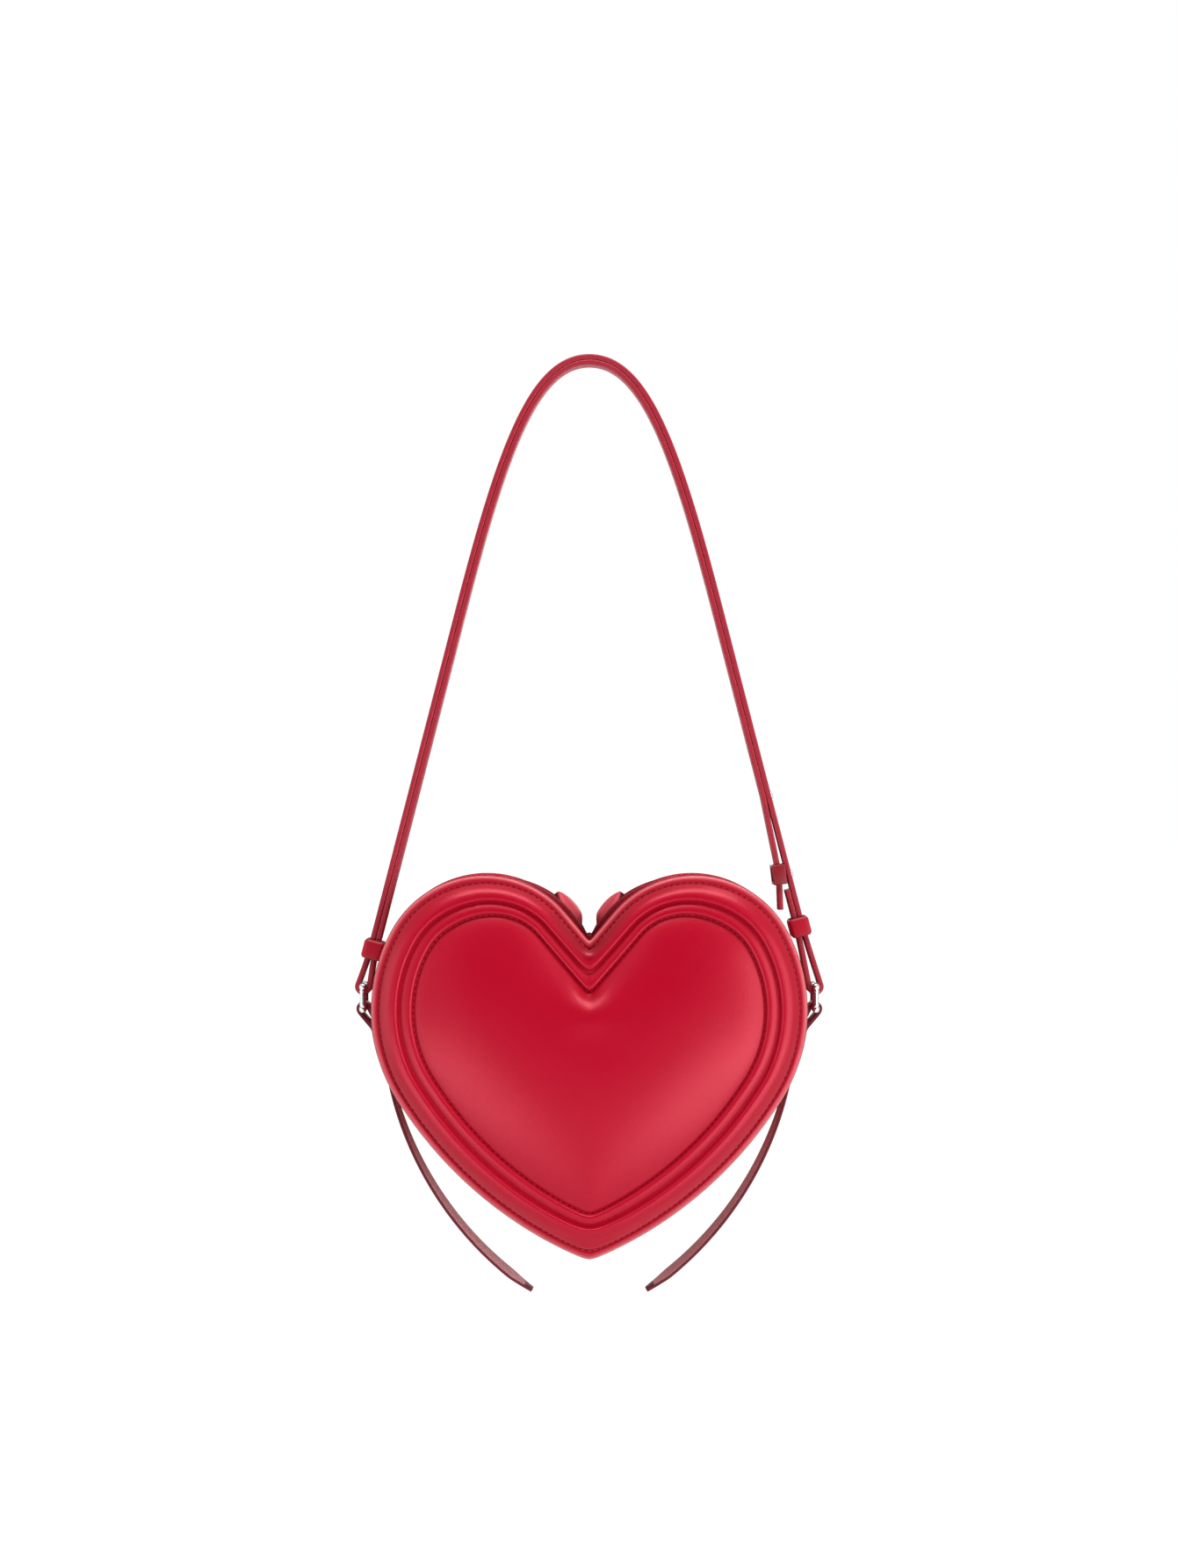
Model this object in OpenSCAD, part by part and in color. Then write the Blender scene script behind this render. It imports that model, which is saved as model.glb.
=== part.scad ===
// Heart shaped leather shoulder purse, hanging from the middle of its strap.
// X runs across the heart, Y from the front (minus) to the back (plus), Z up.
// The origin is under the top of the strap, where a shoulder or a hook holds it.

/* [Heart outline] */
// Radius of each lobe
lobe_r = 50.4; // [48:0.1:53]
// Gap between the two lobes' circles and the middle
lobe_gap = 0; // [-1:0.1:2]
// Radius of the long side below each lobe
shoulder_r = 80; // [76:0.5:86]
// Radius of the lower flank that runs down to the tip
flank_r = 196; // [180:1:220]
// Angle above level at which the lobe turns into the side
shoulder_from = 29; // [24:1:34]
// Angle below level at which the side turns into the lower flank
flank_from = -32; // [-36:1:-28]
// Slope of the two sides of the cleft
cleft_slope = 49.5; // [46:0.5:53]

/* [Moulded panel] */
// Thickness of the leather
leather_t = 1.6; // [1.2:0.1:2]
// Inset of the outer row of stitches
stitch_in = 4.2; // [3.6:0.1:5]
// Width of the raised roll inside those stitches
roll_w = 9.6; // [8:0.1:11]
// Height of the roll
roll_h = 4.2; // [3:0.1:7]
// Width of the smaller rim inside the roll
rim_w = 6.7; // [5:0.1:8]
// Height of that rim
rim_h = 1.8; // [1:0.1:4]
// Height of the leather along the stitches
stitch_h = 2.4; // [2.1:0.1:3]
// Rise of the padded middle above the inner stitches
puff_h = 9.6; // [4:0.1:12]

/* [Sides] */
// Width of the side between the two piped seams
gusset_w = 40; // [34:1:50]
// Radius of the piping cord in each seam
piping_r = 1.2; // [1:0.1:1.5]
// Distance by which the side lies inside the outline
gusset_in = 3; // [2.8:0.1:3.6]
// Thickness of the stiffening board behind each panel
board_t = 1.2; // [0.8:0.1:2]
// Thickness of the lining
lining_t = 0.5; // [0.4:0.1:0.8]

/* [Zip] */
// Angle above level, seen from a lobe's centre, at which the zip ends
zip_end_angle = 63; // [60:1:66]
// Width of the slot between the two leather edges
slot_w = 10.4; // [10:0.1:12]
// Pitch of the teeth along one tape
tooth_pitch = 2.6; // [2.4:0.1:3.2]
// Width of a slider
slider_w = 7.6; // [7:0.1:8]
// Length of a slider
slider_len = 9; // [8.6:0.1:9.6]
// Length of a leaf shaped pull
leaf_len = 20; // [15:0.5:22]
// Width of a leaf shaped pull
leaf_w = 10; // [8:0.5:12]
// Thickness of a leaf shaped pull
leaf_t = 3; // [2:0.1:3.4]

/* [Strap] */
// Drop from the underside of the strap's top to the rings
strap_drop = 300; // [280:1:340]
// Width of the strap
strap_w = 14; // [12:0.5:16]
// Thickness of one ply
ply_t = 2.5; // [2:0.1:2.8]
// Lean of the straight legs from upright
leg_lean = 14.5; // [13.5:0.1:15.5]
// Length of each straight leg
leg_len = 190; // [180:1:200]
// Flat length of curve that starts at the top
top_handle = 26; // [22:0.5:32]
// Length of curve that runs into each straight leg
side_handle = 81; // [70:1:90]
// Height above the ring at which the inner ply parts on the right
split_up = 92; // [88:1:96]
// Height above the ring at which the turned up strap end stops
end_up = 47; // [45:0.5:49]

/* [Rings and loops] */
// Radius of the ring's wire
wire_r = 1.3; // [1.1:0.1:1.5]
// Radius of the ball at each corner of a ring
ball_r = 1.9; // [1.7:0.1:2.2]
// Distance between the two bars of a ring
ring_span = 10.6; // [10:0.1:12]
// Distance of each ring's middle from the widest place of the side
ring_gap = 7.5; // [7.3:0.1:9]
// Thickness of the leather of the ring tabs
tab_t = 1.9; // [1.6:0.1:2.1]
// Drop from a ring's lower bar to the end of its tab
tab_drop = 27.4; // [25:0.1:30]
// Height of a keeper along the strap
keeper_h = 9.8; // [8:0.1:10]
// Wall of a keeper
keeper_t = 2.1; // [1.6:0.1:2.3]
// Height of the left keeper's foot above the ring
left_keeper_up = 13; // [12.5:0.1:15]
// Height of the right keeper's foot above the ring
right_keeper_up = 24; // [22:0.1:26]

/* [Tails] */
// Length of each hanging tail
tail_len = 132.5; // [100:0.5:140]
// Thickness of a tail
tail_t = 1.5; // [1:0.1:1.7]
// Radius of a tail's curl
tail_r = 166; // [155:1:240]
// Lean of a tail from upright where it starts
tail_lean = 10; // [8:0.5:12]

/* [Hidden] */

// Colours
red = "#b9142e";
dark_red = "#5e0d18";
silver = "#c9ccd0";
grey = "#8a8584";
wine = "#6e2430";

// Clearances and overrun
fit = 0.3;          // between parts that move on each other
lay = 0.1;          // between leather layers that are sewn together
over = 1;           // how far a cut runs past what it cuts
fine = 48;          // facets of a small round

// Points used along each stretch of the outline
line_n = 3;
lobe_n = 12;
side_n = 6;
flank_n = 6;
side_lobe_n = 30;
fillet_n = 8;
cord_n = 6;

function polar(r, a) = [r * cos(a), r * sin(a)];
function mix(a, b, t) = a + (b - a) * t;
function smooth(t) = let (u = max(0, min(1, t))) u * u * (3 - 2 * u);
function arc(c, r, from, to, n) = [for (i = [0:n]) c + polar(r, mix(from, to, i / n))];
function without_last(list) = [for (i = [0:len(list) - 2]) list[i]];

lobe_x = lobe_r + lobe_gap;
// Arc centres, first with the lobes at height zero, then with the tip at height zero
lobe_0 = [lobe_x, 0];
side_0 = lobe_0 - polar(shoulder_r - lobe_r, shoulder_from);
flank_0 = side_0 - polar(flank_r - shoulder_r, flank_from);
function tip_angle(inset) = -acos(-flank_0[0] / (flank_r - inset));
lobe_z = -(flank_0[1] + flank_r * sin(tip_angle(0)));
lobe_c = lobe_0 + [0, lobe_z];
side_c = side_0 + [0, lobe_z];
flank_c = flank_0 + [0, lobe_z];

// The cleft pulls the relief together, so its insets shrink towards it
cleft_squeeze_share = 0.2;
squeeze_from = 60;
cleft_from = 90 + cleft_slope;
function squeezed(inset, a) = inset
    * (1 - cleft_squeeze_share * smooth((a - squeeze_from) / (cleft_from - squeeze_from)));
function lobe_start(inset) = lobe_c + polar(lobe_r - squeezed(inset, cleft_from), cleft_from);
function cleft_z(inset) = let (p = lobe_start(inset)) p[1] - p[0] * tan(cleft_slope);

// Right half of the panel's outline, from the cleft round to the tip, drawn in by an inset
function panel_half(inset) = concat(
    [for (i = [0:line_n - 1]) mix([0, cleft_z(inset)], lobe_start(inset), i / line_n)],
    [for (i = [0:lobe_n - 1]) let (a = mix(cleft_from, shoulder_from, i / lobe_n))
        lobe_c + polar(lobe_r - squeezed(inset, a), a)],
    without_last(arc(side_c, shoulder_r - inset, shoulder_from, flank_from, side_n)),
    arc(flank_c, flank_r - inset, flank_from, tip_angle(inset), flank_n));

// Right half of the side's outline, whose cleft is a rounded dip
dip_from = 155;
dip_reach = -lobe_x / cos(dip_from);
dip_c = [0, lobe_z + dip_reach * sin(dip_from)];
function dip_r(inset) = dip_reach - lobe_r + inset;
function side_half(inset) = concat(
    without_last(arc(dip_c, dip_r(inset), -90, dip_from - 180, fillet_n)),
    without_last(arc(lobe_c, lobe_r - inset, dip_from, shoulder_from, side_lobe_n)),
    without_last(arc(side_c, shoulder_r - inset, shoulder_from, flank_from, side_n)),
    arc(flank_c, flank_r - inset, flank_from, tip_angle(inset), flank_n));

// Both halves as one closed loop
function closed(half) = let (n = len(half))
    concat(half, [for (i = [n - 2:-1:1]) [-half[i][0], half[i][1]]]);

// Places derived from the sizes
flange_t = 0.8;     // piping's sewing flange
flange_reach = 1;   // how far the flange runs past the stitched leather
flange_in = stitch_in + leather_t + flange_reach;
seam_y = gusset_w / 2 + piping_r + flange_t / 2 + lay;
ring_x = side_c[0] + shoulder_r - gusset_in + ring_gap;
ring_z = side_c[1];
tab_end_z = ring_z - tab_drop;
bag_z = -(strap_drop + ring_span + ring_z);
groove_in = stitch_in + roll_w;
inner_in = groove_in + rim_w;
edge_in = piping_r / 2;
edge_h = 1.6;       // height of the leather at its edge
inner_h = 3.6;      // height of the leather along the inner stitches
puff_c = [0, lobe_z - lobe_r];

// Relief of the panel as [inset, height above the seam]
hump_power = 0.85;
puff_power = 2;
dome_power = 0.72;
function hump(t) = pow(sin(180 * t), hump_power);
roll_shares = [0, 0.08, 0.26, 0.5, 0.74, 0.92];
rim_shares = [0, 0.2, 0.5, 0.8, 1];
edge_shares = [0, 0.4];
edge_rise_power = 0.35;
relief = concat(
    [for (t = edge_shares) [mix(edge_in, stitch_in, t), mix(edge_h, stitch_h, pow(t, edge_rise_power))]],
    [for (t = roll_shares) [stitch_in + t * roll_w, stitch_h + roll_h * hump(t)]],
    [for (t = rim_shares) [groove_in + t * rim_w, mix(stitch_h, inner_h, t) + rim_h * hump(t)]]);
under_relief = [for (i = [0, 2, 5, 8, 10, 12])
    [max(relief[i][0], stitch_in - edge_in), max(lay, relief[i][1] - leather_t)]];
puff_shares = [0.9, 0.72, 0.5, 0.25];
under_puff_shares = [0.72, 0.36];
function puff_at(share) = inner_h
    + puff_h * pow(1 - pow(share, puff_power), dome_power);

// Zip: the tape lies under the leather edges, and the teeth grip its edge
tape_t = 0.5;
tape_in = gusset_in + leather_t + lay;
chain_in = tape_in + tape_t / 2;
tape_under = 6;     // how far the tape runs under the leather
tape_edge = 1;      // distance of the tape's edge from the middle of the zip
tooth_h = 1.9;
tooth_gap = 0.24;
tooth_w = tooth_pitch / 2 - tooth_gap;
tooth_back = 3;
tooth_nose = 0.8;
parted_nose = -0.45;
slider_at = 151;    // angle of a closed slider, seen from its lobe's centre
slider_t = 1.1;
slider_gap = 0.5;
wedge_w = 0.6;
wedge_l = 3;
bail_w = 1.6;
bail_h = 4.4;
bail_r = 1.2;
bail_z = 2.6;
link_r = 0.5;
link_w = 6.6;
link_side = 0.65;
link_l = 4;
leaf_lean = 52;     // slope of a resting leaf
leaf_skin = 1.2;    // leather left round the leaf's eye

// Rings, tabs, strap slide, studs and tails
ring_play = 0.5;
ring_y = strap_w / 2 + ring_play + ball_r;
tab_bend = 8;       // drop from the ring's bar to where the tab meets the side
slide_up = 54;      // height of the slide above the right ring
slide_x = 17.3;     // distance of the parted ply from the ring, at the slide
free_end_up = 37;
free_end_x = 16.6;
slide_r = 0.8;
slide_h = 8;
slide_play = 0.5;
slide_w = strap_w + 2 * slide_play;
upper_stud_up = 91.7;
lower_stud_up = 53.7;
stud_r = 1;
stud_head_r = 1.9;
stud_head_h = 1.2;
tail_end_w = 5;
tail_n = 14;
strap_n = 22;

// Places a heart's solid below the strap
module in_bag() {
    translate([0, 0, bag_z]) children();
}

module both_sides() {
    children();
    mirror([1, 0, 0]) children();
}

// A closed skin through rings of points, with a point at each end
module domed(first, rings, last) {
    n = len(rings[0]);
    k = len(rings);
    points = concat([first], [for (r = rings) each r], [last]);
    sides = [for (j = [0:k - 2], i = [0:n - 1])
        let (a = 1 + j * n + i, b = 1 + j * n + (i + 1) % n)
        each [[a, b, b + n], [a, b + n, a + n]]];
    start = [for (i = [0:n - 1]) [0, 1 + (i + 1) % n, 1 + i]];
    end = [for (i = [0:n - 1]) [1 + k * n, 1 + (k - 1) * n + i, 1 + (k - 1) * n + (i + 1) % n]];
    polyhedron(points, concat(start, sides, end));
}

// A closed tube through rings of points, whose last ring meets the first
module looped(rings) {
    n = len(rings[0]);
    k = len(rings);
    polyhedron([for (r = rings) each r], [for (j = [0:k - 1], i = [0:n - 1])
        let (a = j * n + i, b = j * n + (i + 1) % n, c = ((j + 1) % k) * n)
        each [[a, b, c + (i + 1) % n], [a, c + (i + 1) % n, c + i]]]);
}

// Upright plate between two depths, from a flat outline of [x, z] points
module plate(points, y0, y1) {
    translate([0, y1, 0]) rotate([90, 0, 0]) linear_extrude(y1 - y0) polygon(points);
}

// Wall that follows the side's outline between two insets and two depths
module side_wall(inset, t, y0, y1) {
    difference() {
        plate(closed(side_half(inset)), y0, y1);
        plate(closed(side_half(inset + t)), y0 - over, y1 + over);
    }
}

// Block over both lobes, as wide as the zip
heart_w = 2 * (lobe_x + shoulder_r);
module zip_zone(grow) {
    x = lobe_x + (lobe_r - gusset_in) * cos(zip_end_angle) + grow;
    translate([-x, -heart_w / 2, lobe_z]) cube([2 * x, heart_w, heart_w]);
}

// The padded leather face as rings of points, outside and inside
function face_ring(inset, h) = [for (p = closed(panel_half(inset))) [p[0], -(seam_y + h), p[1]]];
function puff_ring(share, h) = [for (p = closed(panel_half(inner_in)))
    let (q = mix(puff_c, p, share)) [q[0], -(seam_y + h), q[1]]];
function puff_tip(h) = [puff_c[0], -(seam_y + h), puff_c[1]];
function top_rings(shift) = concat(
    [for (p = relief) face_ring(p[0], p[1] - shift)],
    [for (s = puff_shares) puff_ring(s, puff_at(s) - shift)]);
function under_rings(shift) = concat(
    [for (p = under_relief) face_ring(p[0], p[1] - shift)],
    [for (s = under_puff_shares) puff_ring(s, puff_at(s) - leather_t - shift)]);
function backwards(list) = [for (i = [len(list) - 1:-1:0]) list[i]];

// Moulded leather: rim, stitched groove, roll, groove, inner rim and padded middle
module face_leather() {
    under = concat([face_ring(edge_in, 0)], under_rings(0));
    domed(puff_tip(puff_at(0) - leather_t), concat(backwards(under), top_rings(0)),
        puff_tip(puff_at(0)));
}

// Foam that gives the leather its rolls and its padded middle
module face_foam() {
    floor_h = lay + flange_t / 2 - piping_r;
    rim = face_ring(under_relief[0][0], floor_h);
    domed(puff_tip(floor_h), concat([puff_ring(1, floor_h), rim], under_rings(lay)),
        puff_tip(puff_at(0) - leather_t - lay));
}

// Piping cord with the flange by which it is sewn in
module seam_piping() {
    from = asin(flange_t / 2 / piping_r);
    cord = [for (i = [0:cord_n]) let (a = mix(from, 360 - from, i / cord_n))
        [piping_r * (1 + cos(a)), piping_r * (sin(a) - 1)]];
    flange = [[flange_in, -piping_r - flange_t / 2], [flange_in, -piping_r + flange_t / 2]];
    looped([for (p = concat(cord, flange)) face_ring(p[0], p[1])]);
}

// Board and lining, each a flat heart inside the seam
module heart_sheet(t, depth) {
    side_lag = (lobe_r - flange_in) * (1 - cos(dip_from - cleft_from));
    inset = (flange_in + side_lag + fit) / (1 - cleft_squeeze_share);
    plate(closed(panel_half(inset)), depth - seam_y, depth - seam_y + t);
}

board_depth = piping_r - flange_t / 2;
lining_depth = board_depth + board_t + lay;

module front_panel() {
    color(red) in_bag() face_leather();
}

module front_foam() {
    color(grey) in_bag() face_foam();
}

module front_board() {
    color(grey) in_bag() heart_sheet(board_t, board_depth);
}

module front_lining() {
    color(wine) in_bag() heart_sheet(lining_t, lining_depth);
}

module front_piping() {
    color(red) in_bag() seam_piping();
}

module back_panel() {
    color(red) in_bag() mirror([0, 1, 0]) face_leather();
}

module back_foam() {
    color(grey) in_bag() mirror([0, 1, 0]) face_foam();
}

module back_board() {
    color(grey) in_bag() mirror([0, 1, 0]) heart_sheet(board_t, board_depth);
}

module back_lining() {
    color(wine) in_bag() mirror([0, 1, 0]) heart_sheet(lining_t, lining_depth);
}

module back_piping() {
    color(red) in_bag() mirror([0, 1, 0]) seam_piping();
}

// Side leather from one seam to a given depth, with the edge that is sewn under the panel
module side_leather(to_y) {
    side_wall(gusset_in, leather_t, -gusset_w / 2, to_y);
    side_wall(gusset_in, flange_in - gusset_in, -gusset_w / 2, leather_t - gusset_w / 2);
}

module base_gusset() {
    color(red) in_bag() difference() {
        union() {
            side_leather(over);
            mirror([0, 1, 0]) side_leather(over);
        }
        zip_zone(0);
    }
}

module gusset_lining() {
    edge_y = gusset_w / 2 - leather_t - lay;
    color(wine) in_bag() difference() {
        side_wall(tape_in, lining_t, -edge_y, edge_y);
        zip_zone(0);
    }
}

module zip_strip() {
    color(red) in_bag() intersection() {
        side_leather(-slot_w / 2);
        zip_zone(-lay);
    }
}

module front_zip_strip() {
    zip_strip();
}

module back_zip_strip() {
    mirror([0, 1, 0]) zip_strip();
}

module zip_tape() {
    color(dark_red) in_bag() intersection() {
        side_wall(tape_in, tape_t, -slot_w / 2 - tape_under, -tape_edge);
        zip_zone(-lay);
    }
}

module front_zip_tape() {
    zip_tape();
}

module back_zip_tape() {
    mirror([0, 1, 0]) zip_tape();
}

// Place along the zip at a distance from the middle: [point, outward angle]
function zip_place(s) = s < dip_len
    ? let (a = s / dip_r(chain_in) * 180 / PI - 90) [dip_c + polar(dip_r(chain_in), a), a + 180]
    : let (a = dip_from - (s - dip_len) / (lobe_r - chain_in) * 180 / PI)
        [lobe_c + polar(lobe_r - chain_in, a), a];
dip_len = dip_r(chain_in) * (dip_from - 90) * PI / 180;
lobe_len = (lobe_r - chain_in) * (dip_from - zip_end_angle) * PI / 180;
tooth_count = floor((dip_len + lobe_len) / tooth_pitch) - 1;
slider_s = dip_len + (lobe_r - chain_in) * (dip_from - slider_at) * PI / 180;
parted_to = slider_s - slider_len / 2 + wedge_l + tooth_w / 2;

// Turns local X to the outward direction at a place
module at_place(place) {
    translate([place[0][0], 0, place[0][1]]) rotate([0, -place[1], 0]) children();
}

// One tooth, a jaw that grips the edge of its tape and ends in a nose
module tooth(nose) {
    jaw = tape_t / 2 + lay / 2;
    corner = tooth_h / 4;
    translate([0, 0, -tooth_w / 2]) linear_extrude(tooth_w) polygon([
        [-tooth_h / 2, -tooth_back], [-jaw, -tooth_back], [-jaw, -tape_edge + lay],
        [jaw, -tape_edge + lay], [jaw, -tooth_back], [tooth_h / 2, -tooth_back],
        [tooth_h / 2, nose - corner], [tooth_h / 2 - corner, nose],
        [corner - tooth_h / 2, nose], [-tooth_h / 2, nose - corner]]);
}

// Teeth part round each slider's wedge and stay parted between the two sliders
module teeth(offset_share) {
    both_sides() for (i = [1 - ceil(offset_share):tooth_count]) {
        s = (i + offset_share) * tooth_pitch;
        at_place(zip_place(s)) tooth(s < parted_to ? parted_nose : tooth_nose);
    }
    if (offset_share == 0) at_place(zip_place(0)) tooth(parted_nose);
}

module front_zip_teeth() {
    color(silver) in_bag() teeth(0.5);
}

module back_zip_teeth() {
    color(silver) in_bag() mirror([0, 1, 0]) teeth(0);
}

// Square stops that close the zip at both ends
module zip_stops() {
    stop_w = tooth_back - tape_edge;
    color(silver) in_bag() both_sides()
        at_place(zip_place(dip_len + lobe_len - tooth_w))
            for (x = [tape_t / 2 + lay / 2, -tooth_h / 2])
                translate([x, tape_edge, -tooth_w / 2])
                    cube([tooth_h / 2 - tape_t / 2 - lay / 2, stop_w, tooth_w]);
}

// Slider in its own frame: X away from the bag, Z along the zip towards the cleft
module slider_plate(w, l) {
    r = w / 2;
    for (z = [r - l / 2, l / 2 - r]) translate([0, 0, z]) rotate([0, 90, 0])
        cylinder(h = slider_t, r = r, $fn = fine);
    translate([0, -r, r - l / 2]) cube([slider_t, w, l - w]);
}

module slider_body() {
    gap = tooth_h / 2 + slider_gap;
    translate([gap, 0, 0]) slider_plate(slider_w, slider_len);
    translate([-gap - slider_t, 0, 0]) slider_plate(slider_w, slider_len);
    // Wedge that joins the two plates at the wide end
    translate([-gap - slider_t / 2, -wedge_w / 2, slider_len / 2 - wedge_l])
        cube([2 * gap + slider_t, wedge_w, wedge_l - slider_t]);
    // Bail that holds the pull
    translate([gap + slider_t, 0, bail_z]) difference() {
        translate([-lay, -bail_w / 2, -bail_r]) cube([bail_h + lay, bail_w, 2 * bail_r]);
        translate([bail_h - bail_r, 0, 0]) rotate([90, 0, 0])
            cylinder(h = bail_w + 2 * over, r = link_r + fit, center = true, $fn = fine);
    }
}

slider_place = [lobe_c + polar(lobe_r - chain_in, slider_at), slider_at];

module right_slider() {
    color(dark_red) in_bag() at_place(slider_place) slider_body();
}

module left_slider() {
    mirror([1, 0, 0]) right_slider();
}

// Pivot of the right pull, and the frame in which it lies back along the lobe
pull_x = tooth_h / 2 + slider_gap + slider_t + bail_h - bail_r;
pull_p = slider_place[0] + polar(pull_x, slider_at) + polar(bail_z, slider_at + 90);

module at_pull() {
    translate([pull_p[0], 0, pull_p[1]]) rotate([0, -leaf_lean, 0]) children();
}

// Small link with one bar through the bail and one through the leaf
module pull_link() {
    color(silver) in_bag() at_pull() {
        for (x = [0, link_l]) translate([x, 0, 0]) rotate([90, 0, 0])
            cylinder(h = link_w, r = link_r, center = true, $fn = fine);
        for (y = [-link_w / 2, link_w / 2]) translate([-link_side, y - link_r, -link_side])
            cube([link_l + 2 * link_side, 2 * link_r, 2 * link_side]);
    }
}

// Leaf of two leather layers, wide in the middle and pointed at both ends
module pull_leaf() {
    r = (pow(leaf_len, 2) + pow(leaf_w, 2)) / (4 * leaf_w);
    eye = link_r + fit;
    color(red) in_bag() at_pull() difference() {
        translate([link_l - eye - leaf_skin, 0, -leaf_t / 2]) linear_extrude(leaf_t)
            intersection() {
                translate([leaf_len / 2, r - leaf_w / 2]) circle(r, $fn = 2 * fine);
                translate([leaf_len / 2, leaf_w / 2 - r]) circle(r, $fn = 2 * fine);
            }
        translate([link_l, 0, 0]) rotate([90, 0, 0])
            cylinder(h = leaf_w, r = eye, center = true, $fn = fine);
    }
}

module right_pull_link() {
    pull_link();
}

module left_pull_link() {
    mirror([1, 0, 0]) pull_link();
}

module right_pull_leaf() {
    pull_leaf();
}

module left_pull_leaf() {
    mirror([1, 0, 0]) pull_leaf();
}

// Leather band of even thickness along a path of [x, z] points
function direction(path, i) = let (a = path[max(0, i - 1)], b = path[min(len(path) - 1, i + 1)],
    d = b - a) d / norm(d);
function beside(path, d) = [for (i = [0:len(path) - 1]) let (t = direction(path, i))
    path[i] + d * [-t[1], t[0]]];
module band(path, t, w) {
    plate(concat(beside(path, t / 2), backwards(beside(path, -t / 2))), -w / 2, w / 2);
}

// Angle at which a line from a point touches a circle, on one side or the other
function touch(c, r, p, side) = let (d = p - c) atan2(d[1], d[0]) + side * acos(r / norm(d));

// Ring tab: sewn leg, loop over the ring's lower bar, and a second leg over the first
bar_low = [ring_x, ring_z];
tab_loop_r = wire_r + fit + tab_t / 2;
tab_leg_r = shoulder_r - gusset_in + lay + tab_t / 2;
tab_outer_r = tab_leg_r + tab_t + lay;
function side_angle(r, z) = asin((z - side_c[1]) / r);
function tab_path() =
    let (
        top = bar_low[1] - tab_bend,
        outer_top = top - tab_t,
        low = arc(side_c, tab_leg_r, side_angle(tab_leg_r, tab_end_z),
            side_angle(tab_leg_r, top), side_n),
        high = arc(side_c, tab_outer_r, side_angle(tab_outer_r, outer_top),
            side_angle(tab_outer_r, tab_end_z), side_n),
        enter = touch(bar_low, tab_loop_r, low[side_n], -1),
        leave = touch(bar_low, tab_loop_r, high[0], 1)
    )
    concat(low, arc(bar_low, tab_loop_r, enter + 360, leave, 2 * side_n), high);

module right_ring_tab() {
    color(red) in_bag() band(tab_path(), tab_t, strap_w);
}

module left_ring_tab() {
    mirror([1, 0, 0]) right_ring_tab();
}

// Rectangular ring, standing on edge, with a ball at each corner
module ring() {
    color(silver) translate([ring_x, 0, -strap_drop]) {
        for (z = [0, -ring_span]) {
            translate([0, 0, z]) rotate([90, 0, 0])
                cylinder(h = 2 * ring_y, r = wire_r, center = true, $fn = fine);
            for (y = [-ring_y, ring_y]) translate([0, y, z]) sphere(ball_r, $fn = fine);
        }
        for (y = [-ring_y, ring_y]) translate([0, y, -ring_span])
            cylinder(h = ring_span, r = wire_r, $fn = fine);
    }
}

module right_ring() {
    ring();
}

module left_ring() {
    mirror([1, 0, 0]) ring();
}

// Tail: a thin strip that curls in along the flank and ends in a blunt point
tail_x = side_c[0] + tab_leg_r * cos(side_angle(tab_leg_r, tab_end_z));
tail_top = [tail_x, tab_end_z - 2 * fit];
tail_turn = tail_len / tail_r * 180 / PI;
tail_c = tail_top - polar(tail_r, -tail_lean);
function tail_path() = arc(tail_c, tail_r, -tail_lean, -tail_lean - tail_turn, tail_n);
module right_tail() {
    tip = tail_path()[tail_n];
    w = strap_w / 2;
    color(wine) in_bag() intersection() {
        band(tail_path(), tail_t, strap_w);
        rotate([90, 0, 90]) linear_extrude(heart_w) polygon([
            [-w, tail_top[1] + over], [-w, tip[1] + strap_w], [-tail_end_w / 2, tip[1] - over],
            [tail_end_w / 2, tip[1] - over], [w, tip[1] + strap_w], [w, tail_top[1] + over]]);
    }
}

module left_tail() {
    mirror([1, 0, 0]) right_tail();
}

// Middle line of the right half of the strap, from the top down to the ring
ply_step = ply_t + lay;
strap_top = [0, ply_step / 2 + ply_t / 2];
ring_p = [ring_x, -strap_drop];
up_leg = [-sin(leg_lean), cos(leg_lean)];
leg_top = ring_p + leg_len * up_leg;
function curve(p0, p1, p2, p3, n) = [for (i = [0:n]) let (t = i / n, u = 1 - t)
    u * u * u * p0 + 3 * u * u * t * p1 + 3 * u * t * t * p2 + t * t * t * p3];
strap_curve = curve(strap_top, strap_top + [top_handle, 0], leg_top + side_handle * up_leg,
    leg_top, strap_n);
function on_leg(up, out) = ring_p + up / cos(leg_lean) * up_leg
    + out * [cos(leg_lean), sin(leg_lean)];
function across(path) = [for (p = backwards(path)) [-p[0], p[1]]];

// One half of the outer ply: from the top down, round the ring and up inside the keeper
strap_loop_r = wire_r + fit + ply_t / 2;
function outer_half(foot, stop) =
    let (
        down = on_leg(foot, ply_step / 2),
        up = on_leg(foot, -ply_step / 2),
        enter = touch(ring_p, strap_loop_r, down, -1),
        leave = touch(ring_p, strap_loop_r, up, 1)
    )
    concat(beside(strap_curve, ply_step / 2), [down],
        arc(ring_p, strap_loop_r, enter, leave - 360, 2 * side_n),
        [up, on_leg(stop, -ply_step / 2)]);

module outer_strap() {
    right = outer_half(right_keeper_up, end_up);
    left = outer_half(left_keeper_up, left_keeper_up + keeper_h + fit);
    color(red) difference() {
        band(concat(across(left), [for (i = [1:len(right) - 1]) right[i]]), ply_t, strap_w);
        for (stud_up = [upper_stud_up, lower_stud_up]) at_stud(stud_up)
            cylinder(h = strap_w, r = stud_r + lay, center = true, $fn = fine);
    }
}

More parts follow.
